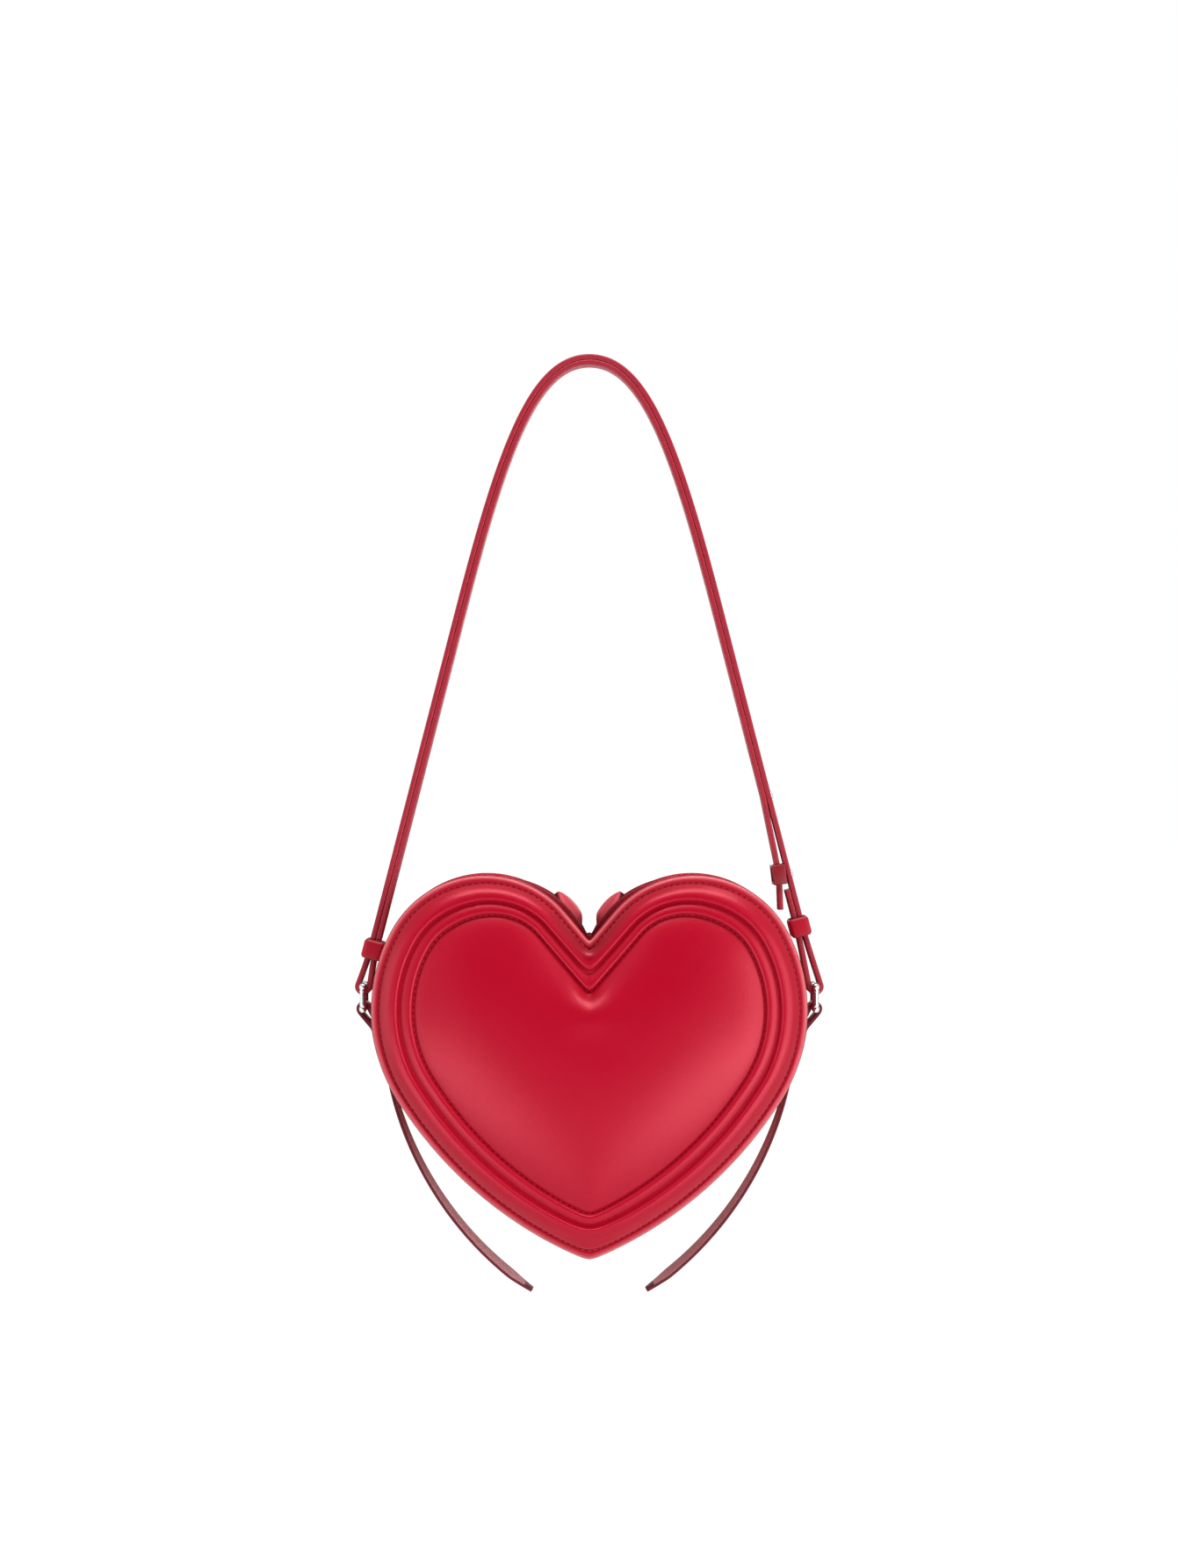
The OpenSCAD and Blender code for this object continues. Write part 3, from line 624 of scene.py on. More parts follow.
panel = {"stitchIn": 4.2, "rollW": 9.6, "rimW": 6.7,
         # inset, height and painted crease shade from the edge to the stitched groove
         "edgeShape": ((3.6, -0.7, 0.6), (3.2, 0.0, 0.6), (0.75, 0.02, 0.6), (0.50, 0.25, 0.4),
                       (0.42, 0.7, 0.1), (0.52, 1.15, 0), (0.85, 1.52, 0), (1.5, 1.82, 0),
                       (2.3, 2.0, 0), (3.0, 2.06, 0), (3.5, 2.0, 0.1), (3.85, 1.86, 0.3),
                       (4.2, 1.8, 0.45)),
         # share of the width and height of the roll and of the rim
         "rollShape": ((0.015, 3.0), (0.03, 3.5), (0.06, 3.95), (0.1, 4.3), (0.16, 4.8),
                       (0.23, 5.4), (0.31, 6.02), (0.4, 6.6), (0.49, 7.06), (0.58, 7.4),
                       (0.66, 7.62), (0.73, 7.73), (0.79, 7.74), (0.84, 7.6), (0.885, 7.22),
                       (0.925, 6.62), (0.96, 5.95), (1.0, 5.3)),
         "rimShape": ((0.04, 5.36), (0.09, 5.52), (0.16, 5.78), (0.24, 6.07), (0.32, 6.34),
                      (0.4, 6.57), (0.48, 6.76), (0.56, 6.89), (0.64, 6.96), (0.72, 6.96),
                      (0.79, 6.87), (0.85, 6.66), (0.9, 6.28), (0.94, 5.8), (0.97, 5.3)),
         # painted shade in the crease at a shape's start, its fading, where it comes back and how
         # fast
         "rollCrease": (0.35, 5, 0.88, 3.5), "rimCrease": (0.42, 3, 0.85, 7 / 3),
         "seamH": 4.55, "seamCrease": 0.55,
         "softAt": (0, 4, 6.5, 9, 13.8, 17, 20.5), "soft": (0.9, 1.2, 3.4, 4.2, 2.4, 1.8, 1.2),
         "puffShares": (0.995, 0.985, 0.97, 0.95, 0.925, 0.895, 0.86, 0.82, 0.775, 0.725, 0.67,
                        0.61, 0.55, 0.48, 0.41, 0.34, 0.27, 0.2, 0.13, 0.06),
         "roundings": 700, "roundFrom": 0.75, "puffCrease": 0.03,
         "innerH": 4.6, "puffH": 9.6, "puffPower": 2.0, "domePower": 0.72, "brimPower": 0.84,
         "edgeReach": 43.0, "edgeShare": 0.55, "floorH": -0.7, "floorShares": (0.2, 0.6),
         "cleftRise": 2.6, "cleftReach": (15.0, 9.5), "cleftDrop": 8.5, "cleftLip": 5.0,
         # painted shade on the roll beside the cleft: its strength, the rings it covers and its
         # width
         "cleftPaintedShade": 0.42, "paintedShadeRings": (11, 25), "paintedShadeWide": 21.0,
         # strength of the painted highlight on each ring near the panel's edge
         "rimHighlightRings": {3: 0.5, 4: 0.8, 5: 1.0, 6: 0.8, 7: 0.35, 8: 0.1}}
grooveIn = panel["stitchIn"] + panel["rollW"]
innerIn = grooveIn + panel["rimW"]
innerSoft = panel["soft"][-1]
puffC = np.array([0.0, lobeC[1] - heart["lobeR"]])


def fromSeam(points, seam):
    # smooth distance of points from the inner seam
    ends = np.roll(seam, -1, axis=0)
    middles, lengths = (seam + ends) / 2, np.linalg.norm(ends - seam, axis=1)
    gaps = np.linalg.norm(points[:, None, :] - middles[None, :, :], axis=2)
    pull = np.sum(lengths[None, :] / np.maximum(gaps, 0.5) ** 4, axis=1)
    return (math.pi / 2 / pull) ** (1 / 3)


def puffHeights(points, share, seam):
    # a broad dome, fuller along its seam and raised round the cleft's point
    gap = fromSeam(points, seam)
    dome = (1 - share ** panel["puffPower"]) ** panel["domePower"]
    brim = (1 - (1 - np.minimum(1, gap / panel["edgeReach"])) ** 2) ** panel["brimPower"]
    height = panel["puffH"] * (dome * (1 - panel["edgeShare"]) + brim * panel["edgeShare"])
    cleft = (points - seam[0] + np.array([0, panel["cleftDrop"]])) / np.array(panel["cleftReach"])
    near = np.exp(-np.sum(cleft ** 2, axis=1))
    inside = np.minimum(1, gap / panel["cleftLip"])
    return panel["innerH"] + height + panel["cleftRise"] * near * smoothly(inside)


def creaseAt(t, shape):
    start, fade, again, gain = shape
    return max(0, start - t * fade) + max(0, t - again) * gain


def panelRings():
    # each ring as (points, height, painted crease shade), from the edge to the middle
    relief = list(panel["edgeShape"])
    for t, height in panel["rollShape"]:
        relief.append((panel["stitchIn"] + t * panel["rollW"], height,
                       creaseAt(t, panel["rollCrease"])))
    for t, height in panel["rimShape"]:
        relief.append((grooveIn + t * panel["rimW"], height, creaseAt(t, panel["rimCrease"])))
    relief.append((innerIn, panel["seamH"], panel["seamCrease"]))
    made = []
    for inset, height, crease in relief:
        soft = float(np.interp(inset, panel["softAt"], panel["soft"]))
        made.append((outline(inset, soft), height, crease))
    edge = made[-1][0]
    rounded = edge.copy()
    for _ in range(panel["roundings"]):
        rounded = (np.roll(rounded, 1, axis=0) + rounded * 2 + np.roll(rounded, -1, axis=0)) / 4
    for share in panel["puffShares"]:
        ease = smoothly(min(1.0, (1 - share) / panel["roundFrom"]))
        points = puffC + (edge * (1 - ease) + rounded * ease - puffC) * share
        # painted shade in the crease along the inner seam
        crease = max(0, share - 1 + panel["puffCrease"]) / panel["puffCrease"] * 0.5
        made.append((points, puffHeights(points, share, edge), crease))
    return made


rings = panelRings()


def makePanel(name, side):
    # side is -1 for the front and 1 for the back
    count = len(rings[0][0])
    stack = [(puffC + (rings[0][0] - puffC) * share, panel["floorH"], 0)
             for share in panel["floorShares"]] + rings
    first, last = panel["paintedShadeRings"]
    places, creases, wear, shade = [], [], [], []
    for level, (points, height, crease) in enumerate(stack):
        # painted highlight on the rings along the panel's edge
        highlit = panel["rimHighlightRings"].get(level - len(panel["floorShares"]), 0)
        # painted shade on the roll beside the cleft, fading out sideways and kept to the upper half
        paintedShade = panel["cleftPaintedShade"] * (first < level < last)
        for (x, z), h in zip(points, np.broadcast_to(height, count)):
            places.append(spot(x, side * (heart["seamY"] + h), z))
            creases.append(crease)
            wear.append(highlit)
            shade.append(paintedShade * max(0, 1 - (x / panel["paintedShadeWide"]) ** 2) * (z > lobeC[1] / 2))
    top = puffHeights(puffC[None, :], 0, outline(innerIn, innerSoft))[0]
    for height in (panel["floorH"], top):
        places.append(spot(0, side * (heart["seamY"] + height), puffC[1]))
        for row in (creases, wear, shade):
            row.append(0)
    faces = []
    for j in range(len(stack) - 1):
        for i in range(count):
            a, b = j * count + i, j * count + (i + 1) % count
            faces.append((a, a + count, b + count, b))
    low, high = len(places) - 2, len(places) - 1
    end = (len(stack) - 1) * count
    for i in range(count):
        faces.append((low, i, (i + 1) % count))
        faces.append((high, end + (i + 1) % count, end + i))
    made = drawn(name, places, faces, 60, crease=creases, wear=wear, shade=shade)
    return finishWith(made, mouldedLeather)


for name, side, body in halves:
    made = makePanel(name + "Panel", side)
    placeOn(made, body, "moulded_leather", name + "_panel", name + "_foam")
print("stage: moulded panels")

# rows of stitches

stitch = {"long": 2.15, "radius": 0.30, "pitch": 3.0, "slant": 5.0, "blunt": 0.7, "look": 0.6,
          "outerLay": 0.05, "outerSoft": 1.0, "outerH": 1.95, "innerH": 4.68}


def oneStitch():
    # a short plump thread end to end, made once and copied
    half = stitch["long"] / 2 * mm
    made = added(bpy.ops.mesh.primitive_uv_sphere_add, segments=6, ring_count=5, radius=1)
    made.rotation_euler = (0, math.pi / 2, 0)
    made.scale = (stitch["radius"] * mm, stitch["radius"] * mm, half)
    bpy.ops.object.transform_apply(location=False, rotation=True, scale=True)
    co = np.array([v.co for v in made.data.vertices])
    co[:, 0] = np.sign(co[:, 0]) * half * (np.abs(co[:, 0]) / half) ** stitch["blunt"]
    shape = (co, [tuple(face.vertices) for face in made.data.polygons])
    bpy.data.objects.remove(made)
    return shape


stitchShape = oneStitch()


def stitchRow(name, line, outward, closed=False):
    # line is a list of points in metres, and outward gives the surface's normal at a point
    points = np.array(line, float)
    if closed:
        points = np.vstack([points, points[:1]])
    run = distances(points)
    count = max(1, int(round(run[-1] / (stitch["pitch"] * mm))))
    pitch = run[-1] / count
    look = stitch["look"] * mm
    slant = math.radians(stitch["slant"])
    co, faces = stitchShape
    allPlaces, allFaces = [], []
    for i in range(count):
        at, ahead, behind = (
            np.array([np.interp((i + 0.5) * pitch + shift, run, points[:, k]) for k in range(3)])
            for shift in (0, look, -look))
        along = (ahead - behind) / np.linalg.norm(ahead - behind)
        up = np.array(outward(at), float)
        up = up - along * np.dot(up, along)
        up /= np.linalg.norm(up)
        beside = np.cross(up, along)
        along, beside = (along * math.cos(slant) + beside * math.sin(slant),
                         beside * math.cos(slant) - along * math.sin(slant))
        base = len(allPlaces)
        allPlaces.extend((at + co @ np.array([along, beside, up])).tolist())
        allFaces.extend([tuple(base + k for k in face) for face in faces])
    return finishWith(drawn(name, allPlaces, allFaces, 80), thread)


for name, side, body in halves:
    rows = []
    for inset, soft, height in (
            (panel["stitchIn"] - stitch["outerLay"], stitch["outerSoft"], stitch["outerH"]),
            (innerIn, innerSoft, stitch["innerH"])):
        line = [spot(x, side * (heart["seamY"] + height), z) for x, z in outline(inset, soft)]
        rows.append(stitchRow("row", line, lambda at: (0, side, 0), closed=True))
    placeOn(joinAll(name + "Stitches", rows), body, "red_leather")
print("stage: stitches")

# piping cord in both seams

piping = {"radius": 1.2, "inset": 1.2, "soft": 0.9}


def closedCord(name, points, radius):
    data = bpy.data.curves.new(name, "CURVE")
    data.dimensions = "3D"
    data.bevel_depth = radius * mm
    data.bevel_resolution = 3
    line = data.splines.new("POLY")
    line.points.add(len(points) - 1)
    for point, place in zip(line.points, points):
        point.co = (*place, 1)
    line.use_cyclic_u = True
    made = bpy.data.objects.new(name, data)
    bpy.context.collection.objects.link(made)
    bpy.ops.object.select_all(action="DESELECT")
    bpy.context.view_layer.objects.active = made
    made.select_set(True)
    bpy.ops.object.convert(target="MESH")
    made = bpy.context.object
    tidyNormals(made)
    return settle(made, 60)


for name, side, body in halves:
    depth = side * (heart["seamY"] - piping["radius"])
    line = [spot(x, depth, z) for x, z in outline(piping["inset"], piping["soft"])]
    cord = finishWith(closedCord(name + "Piping", line, piping["radius"]), sideLeather)
    placeOn(cord, body, "piping", name + "_piping")
print("stage: piping")

# side of the bag and the two zip strips

gusset = {"thick": 1.6, "width": 40.0, "corner": 0.7, "rows": 9, "zipEnd": 63.0, "slot": 10.4,
          "bow": 1.0, "bowPower": 2.4, "stripCorner": 0.75, "cleftBow": 5.4, "cleftWide": 36.0,
          # painted shade on the zip strips in the cleft: its strength and width
          "paintedShade": 0.95, "paintedShadeWide": 34.0,
          "tapeT": 0.5, "tapeUnder": 6.0, "tapeEdge": 1.0, "tapeLay": 0.1, "tapeCorner": 0.2,
          "rowAt": 7.4, "rowLay": 0.05, "rowEnd": 4, "tipGap": 0.6,
          "lobeSteps": 18, "sideSteps": 40, "flankSteps": 44, "dipSteps": 10, "zipSteps": 60}


def sideHalf(inset, fromZip):
    # right half of the side's outline; fromZip starts it where the zip ends
    lobeInset = heart["lobeR"] - inset
    start = math.degrees(math.acos((math.cos(math.radians(gusset["zipEnd"]))
                                    * (heart["lobeR"] - heart["inset"])) / lobeInset))
    if fromZip:
        lobe = arcPoints(lobeC, lobeInset, start, heart["shoulderFrom"], gusset["lobeSteps"])
        side = arcPoints(sideC, heart["shoulderR"] - inset, heart["shoulderFrom"],
                         heart["flankFrom"], gusset["sideSteps"])
        flank = arcPoints(flankC, heart["flankR"] - inset, heart["flankFrom"],
                          tipAngle(inset) + gusset["tipGap"], gusset["flankSteps"])
        return lobe[:-1] + side[:-1] + flank
    reach = -heart["lobeR"] / math.cos(math.radians(heart["dipFrom"]))
    dipC = (0.0, lobeC[1] + reach * math.sin(math.radians(heart["dipFrom"])))
    dip = arcPoints(dipC, reach - lobeInset, -90, heart["dipFrom"] - 180, gusset["dipSteps"])
    return dip[:-1] + arcPoints(lobeC, lobeInset, heart["dipFrom"], start, gusset["zipSteps"])


def overCleft(inset):
    half = sideHalf(inset, False)
    return inMetres(mirrored(half)[:-1] + half, tipZ)


def heartOutward(place):
    x, z = abs(place.x) / mm, place.z / mm - tipZ
    fromSide = math.degrees(math.atan2(z - sideC[1], x - sideC[0]))
    if fromSide > heart["shoulderFrom"]:
        centre = lobeC
    elif fromSide > heart["flankFrom"]:
        centre = sideC
    else:
        centre = flankC
    away = np.array([x, z]) - centre
    away = away / np.linalg.norm(away)
    lean = math.copysign(min(1.0, x / 4), place.x)
    return Vector((away[0] * lean, 0, away[1])).normalized()


def awayFromLobe(at):
    x, _, z = spot(lobeC[0], 0, lobeC[1])
    return (at[0] - math.copysign(x, at[0]), 0, at[2] - z)


def nearCleft(place, wide):
    return math.exp(-(place.x / mm / wide) ** 2)


underSeam = heart["inset"] + gusset["thick"] / 2
lowerHalf = sideHalf(underSeam, True)
lowerPath = inMetres(lowerHalf + mirrored(lowerHalf), tipZ)
made = sweep("gusset", lowerPath, gusset["thick"] * mm, gusset["width"] * mm,
             gusset["corner"] * mm, rows=gusset["rows"])
for vertex in made.data.vertices:  # bowed out between its two seams
    share = min(1.0, abs(vertex.co.y) / (gusset["width"] / 2 * mm))
    swell = gusset["bow"] * mm * (1 - share ** gusset["bowPower"])
    vertex.co += heartOutward(vertex.co) * swell
settle(made, 50)
finishWith(made, sideLeather)
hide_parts("base_gusset")
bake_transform(made)

upperPath = overCleft(underSeam)
tapePath = overCleft(heart["inset"] + gusset["thick"] + gusset["tapeLay"] + gusset["tapeT"] / 2)
rowPath = overCleft(heart["inset"] - gusset["rowLay"])[gusset["rowEnd"]:-gusset["rowEnd"]]
wide = (gusset["width"] - gusset["slot"]) / 2
tapeWide = gusset["slot"] / 2 + gusset["tapeUnder"] - gusset["tapeEdge"]
for name, way, body in halves:
    strip = sweep(name + "ZipStrip", upperPath, gusset["thick"] * mm, wide * mm,
                  gusset["stripCorner"] * mm, middle=way * (gusset["slot"] + wide) / 2 * mm,
                  rows=gusset["rows"])
    for vertex in strip.data.vertices:
        share = (abs(vertex.co.y) / mm - gusset["slot"] / 2) / wide
        swell = gusset["bow"] + gusset["cleftBow"] * nearCleft(vertex.co, gusset["cleftWide"])
        swell *= math.sin(math.pi * min(1.0, max(0.0, share)))
        vertex.co += heartOutward(vertex.co) * (swell * mm)
    # painted shade on the zip strips, darkest at the cleft
    paintedShade = [gusset["paintedShade"] * nearCleft(v.co, gusset["paintedShadeWide"]) for v in strip.data.vertices]
    strip.data.attributes.new("shade", "FLOAT", "POINT").data.foreach_set("value", paintedShade)
    settle(strip, 50)
    finishWith(strip, stripLeather)
    placeOn(strip, body, "red_leather", name + "_zip_strip")
    tape = sweep(name + "ZipTape", tapePath, gusset["tapeT"] * mm, tapeWide * mm,
                 gusset["tapeCorner"] * mm,
                 middle=way * (gusset["tapeEdge"] + tapeWide / 2) * mm)
    runMap(tape, tapePath)
    settle(tape, 50)
    finishWith(tape, wovenTape)
    placeOn(tape, body, "tape", name + "_zip_tape")
    line = [(x, way * gusset["rowAt"] * mm, z) for x, z in rowPath]
    row = stitchRow(name + "StripStitches", line, awayFromLobe)
    placeOn(row, body, "red_leather")
print("stage: side and zip strips")

# ring tabs: a sewn leg, a loop over the ring's lower bar and a second leg

ringAt = (109.011, 120.079)
tab = {"thick": 1.9, "width": 14.0, "corner": 0.6, "wire": 1.3, "play": 0.3, "drop": 27.4,
       "bend": 8.0, "lay": 0.1, "plump": 0.3, "step": 0.9, "rowAt": 5.2, "rowFrom": 12.0,
       "rowEnd": 2.0, "footRow": 4.4, "legSteps": 12, "loopSteps": 26, "rowSteps": 20}


def touching(centre, radius, point, way):
    # angle at which a line from the point touches the circle
    away = np.array(point) - np.array(centre)
    return math.degrees(math.atan2(away[1], away[0])
                        + way * math.acos(radius / np.linalg.norm(away)))


def sideAngle(radius, z):
    return math.degrees(math.asin((z - sideC[1]) / radius))


tabR = heart["shoulderR"] - heart["inset"] + tab["lay"] + tab["thick"] / 2
tabEnd = ringAt[1] - tab["drop"]


def tabHalf():
    outerR = tabR + tab["thick"] + tab["lay"]
    loopR = tab["wire"] + tab["play"] + tab["thick"] / 2
    top = ringAt[1] - tab["bend"]
    low = arcPoints(sideC, tabR, sideAngle(tabR, tabEnd), sideAngle(tabR, top), tab["legSteps"])
    high = arcPoints(sideC, outerR, sideAngle(outerR, top - tab["thick"]),
                     sideAngle(outerR, tabEnd), tab["legSteps"])
    enter = touching(ringAt, loopR, low[-1], -1) + 360
    leave = touching(ringAt, loopR, high[0], 1)
    return low + arcPoints(ringAt, loopR, enter, leave, tab["loopSteps"])[1:-1] + high


def eased(path, rounds):
    # rounds the corners of a path and keeps its ends
    points = np.array(path, float)
    for _ in range(rounds):
        points[1:-1] = (points[:-2] + points[2:] + points[1:-1] * 2) / 4
    return [tuple(p) for p in points]


def evenly(path, step):
    # points at an even distance along a path
    points = np.array(path, float)
    run = distances(points)
    at = np.linspace(0, run[-1], max(3, int(run[-1] / step) + 1))
    return [(float(np.interp(s, run, points[:, 0])), float(np.interp(s, run, points[:, 1])))
            for s in at]


tabPath = eased(evenly(tabHalf(), tab["step"]), 3)
sewnR = heart["shoulderR"] - heart["inset"] + 2 * tab["lay"] + tab["thick"] * 2
sewnLine = arcPoints(sideC, sewnR, sideAngle(sewnR, ringAt[1] - tab["rowFrom"]),
                     sideAngle(sewnR, tabEnd + tab["rowEnd"]), tab["rowSteps"])
for name, way in sides:
    made = sweep(name + "RingTab", inMetres(bothWays(tabPath, way), tipZ),
                 (tab["thick"] + tab["plump"]) * mm, tab["width"] * mm, tab["corner"] * mm)
    settle(made, 50)
    finishWith(made, strapLeather, paintedEdge)
    paintEdges(made)
    foot = sewnLine[-1]
    lines = [[spot(x * way, depth, z) for x, z in sewnLine]
             for depth in (-tab["rowAt"], tab["rowAt"])]
    lines.append([spot(foot[0] * way, y, foot[1]) for y in (-tab["footRow"], tab["footRow"])])
    rows = [stitchRow("row", line, lambda at: (way, 0, 0)) for line in lines]
    placeOn(made, "bag", "strap_leather", name + "_ring_tab")
    placeOn(joinAll(name + "TabStitches", rows), "bag", "strap_leather")
print("stage: ring tabs")

# rectangular rings with ball corners

ring = {"top": -300.0, "wire": 1.3, "sleeve": 1.5, "ball": 1.9, "span": 10.6, "depth": 9.4,
        "collar": 1.75, "collarLong": 0.7, "collarSoft": 0.154, "collarAt": (0.2, 0.8)}


def cylinder(place, lie, radius, long_):
    made = added(bpy.ops.mesh.primitive_cylinder_add, vertices=32, radius=radius * mm,
                 depth=long_, location=place)
    made.rotation_euler = lie
    placeInMesh()
    return made


def metalRod(start, end, radius, collars=()):
    # a round bar from place to place in metres, with a collar at each given share
    a, b = Vector(start), Vector(end)
    lie = (b - a).to_track_quat("Z", "Y").to_euler()
    parts = [cylinder((a + b) / 2, lie, radius, (b - a).length)]
    for share in collars:
        cuff = cylinder(a.lerp(b, share), lie, ring["collar"], ring["collarLong"] * mm)
        editAll(cuff)
        bpy.ops.mesh.bevel(offset=ring["collarSoft"] * mm, segments=2, affect="EDGES")
        outOfEdit()
        parts.append(cuff)
    return joinAll("rod", parts)


def metalBall(place, radius):
    ball = added(bpy.ops.mesh.primitive_uv_sphere_add, segments=32, ring_count=18,
                 radius=radius * mm, location=place)
    ball.rotation_euler = (math.pi / 2, 0, 0)
    placeInMesh()
    return ball


for name, way in sides:
    x, top = ringAt[0] * way * mm, ring["top"] * mm
    low = top - ring["span"] * mm
    deep = ring["depth"] * mm
    parts = []
    for z in (top, low):
        parts.append(metalRod((x, -deep, z), (x, deep, z), ring["wire"]))
        parts.extend(metalBall((x, y, z), ring["ball"]) for y in (-deep, deep))
    for y in (-deep, deep):
        parts.append(metalRod((x, y, low), (x, y, top), ring["sleeve"], ring["collarAt"]))
    made = settle(joinAll(name + "Ring", parts), 35)
    finishWith(made, polishedNickel)
    placeOn(made, "ring_" + name, "metal", name + "_ring")
print("stage: rings")

# hanging tails, which curl in along the flanks and turn a little at their ends

tail = {"long": 132.5, "thick": 1.5, "corner": 0.45, "radius": 166.0, "lean": 10.0, "below": 0.6,
        "endWide": 5.0, "taper": 13.0, "twist": 9.0, "steps": 84, "paintedEnd": 4}


def tailLine():
    x = sideC[0] + tabR * math.cos(math.radians(sideAngle(tabR, tabEnd)))
    centre = np.array([x, tabEnd - tail["below"]]) - polar(tail["radius"], -tail["lean"])
    turn = math.degrees(tail["long"] / tail["radius"])
    return arcPoints(centre, tail["radius"], -tail["lean"], -tail["lean"] - turn, tail["steps"])


tailPath = tailLine()
tailRun = np.linspace(0, tail["long"], len(tailPath))
tailWidths = np.interp(tailRun, [0, tail["long"] - tail["taper"], tail["long"]],
                       [tab["width"], tab["width"], tail["endWide"]]) * mm
for name, way in sides:
    path = inMetres(bothWays(tailPath, way), tipZ)
    made = sweep(name + "Tail", path, tail["thick"] * mm, tab["width"] * mm,
                 tail["corner"] * mm, widths=tailWidths)
    turns = headings(path)
    points = np.array(path)
    for face in made.data.polygons:
        near = nearest(points, face.center)
        inward = Vector((-way * abs(math.sin(turns[near])), 0, abs(math.cos(turns[near]))))
        if abs(face.normal.y) > 0.3 or near >= len(path) - tail["paintedEnd"]:
            face.material_index = 1
        elif face.normal.dot(inward) > 0.5:
            face.material_index = 2
    for vertex in made.data.vertices:
        near = nearest(points, vertex.co)
        share = math.sqrt(near / (len(path) - 1))
        axis = Vector((math.cos(turns[near]), 0, math.sin(turns[near])))
        turn = Matrix.Rotation(-math.radians(tail["twist"]) * share * way, 3, axis)
        centre = Vector((path[near][0], 0, path[near][1]))
        vertex.co = centre + turn @ (vertex.co - centre)
    settle(made, 50)
    finishWith(made, strapLeather, paintedEdge, tailInside)
    placeOn(made, "tail_" + name, "tail_leather", name + "_tail")
print("stage: tails")

# the strap's two plies

strap = {"ply": 2.5, "width": 14.0, "corner": 0.6, "lean": 14.5, "leg": 190.0, "top": 26.0,
         "side": 81.0, "lay": 0.1, "splitUp": 92.0, "endUp": 47.0, "slideUp": 54.0,
         "slideX": 17.3, "freeUp": 37.0, "freeX": 16.6, "leftKeeper": 13.0, "rightKeeper": 24.0,
         "keeperH": 9.8, "keeperT": 2.1, "keeperSoft": 0.45, "fit": 0.3,
         "curveCount": 61, "legCount": 40, "loopSteps": 40, "backCount": 8,
         "innerStep": 3.0, "bentStep": 1.6, "bentRounds": 6}
plyStep = strap["ply"] + strap["lay"]
lean = math.radians(strap["lean"])
upLeg = np.array([-math.sin(lean), math.cos(lean)])
outLeg = np.array([math.cos(lean), math.sin(lean)])
ringP = np.array([ringAt[0], ring["top"]])
legTop = ringP + strap["leg"] * upLeg


def strapCurve():
    p0 = np.array([0.0, plyStep / 2 + strap["ply"] / 2])
    p1 = p0 + np.array([strap["top"], 0])
    p2 = legTop + strap["side"] * upLeg
    curve = []
    for t in np.linspace(0, 1, strap["curveCount"]):
        u = 1 - t
        curve.append(u ** 3 * p0 + 3 * u * u * t * p1 + 3 * u * t * t * p2 + t ** 3 * legTop)
    return curve


def besides(path, distance):
    return [(p[0] - distance * math.sin(a), p[1] + distance * math.cos(a))
            for p, a in zip(path, headings(path))]


def onLeg(up, out):
    return ringP + up / math.cos(lean) * upLeg + out * outLeg


def between(start, end, count):
    start, end = np.array(start), np.array(end)
    return [tuple(start + (end - start) * t) for t in np.linspace(0, 1, count)]


def outerHalf(foot, stop):
    # from the top down the leg, round the ring and up the inside to its end
    down, up = onLeg(foot, plyStep / 2), onLeg(foot, -plyStep / 2)
    radius = tab["wire"] + strap["fit"] + strap["ply"] / 2
    upper = besides(strapCurve(), plyStep / 2)
    loop = arcPoints(ringP, radius, touching(ringP, radius, down, -1),
                     touching(ringP, radius, up, 1) - 360, strap["loopSteps"])
    leg = between(upper[-1], down, strap["legCount"])[1:]
    back = between(up, onLeg(stop, -plyStep / 2), strap["backCount"])
    return upper + eased(leg + loop + back, 2)


def strapBand(name, right, left, node):
    path = inMetres(mirrored(left)[:-1] + right)
    made = sweep(name, path, strap["ply"] * mm, strap["width"] * mm, strap["corner"] * mm)
    settle(made, 50)
    finishWith(made, strapLeather, strapEdge)
    paintEdges(made)
    placeOn(made, "strap", "strap_leather", node)


strapBand("outerStrap", outerHalf(strap["rightKeeper"], strap["endUp"]),
          outerHalf(strap["leftKeeper"], strap["leftKeeper"] + strap["keeperH"] + strap["fit"]),
          "outer_strap")

innerCurve = besides(strapCurve(), -plyStep / 2)
splitP = tuple(onLeg(strap["splitUp"], -plyStep / 2))
bendP = (ringAt[0] - strap["slideX"], strap["slideUp"] + ring["top"])
freeP = (ringAt[0] - strap["freeX"], strap["freeUp"] + ring["top"])
rightInner = innerCurve + evenly([innerCurve[-1], splitP], strap["innerStep"])[1:]
bent = evenly([rightInner[-1], bendP, freeP], strap["bentStep"])
rightInner = rightInner[:-1] + eased(bent, strap["bentRounds"])
leftEnd = tuple(onLeg(strap["leftKeeper"] + strap["keeperH"] + 2 * strap["fit"], -plyStep / 2))
leftInner = innerCurve + evenly([innerCurve[-1], leftEnd], strap["innerStep"])[1:]
strapBand("innerStrap", rightInner, leftInner, "inner_strap")
print("stage: strap")

# keepers, slide and studs


def box(size):
    made = added(bpy.ops.mesh.primitive_cube_add, size=1)
    editAll(made)
    bpy.ops.transform.resize(value=size)
    outOfEdit()
    return made


def block(size, corner):
    made = box(size)
    editAll(made)
    bpy.ops.mesh.bevel(offset=corner * mm, segments=3, affect="EDGES")
    outOfEdit()
    return made


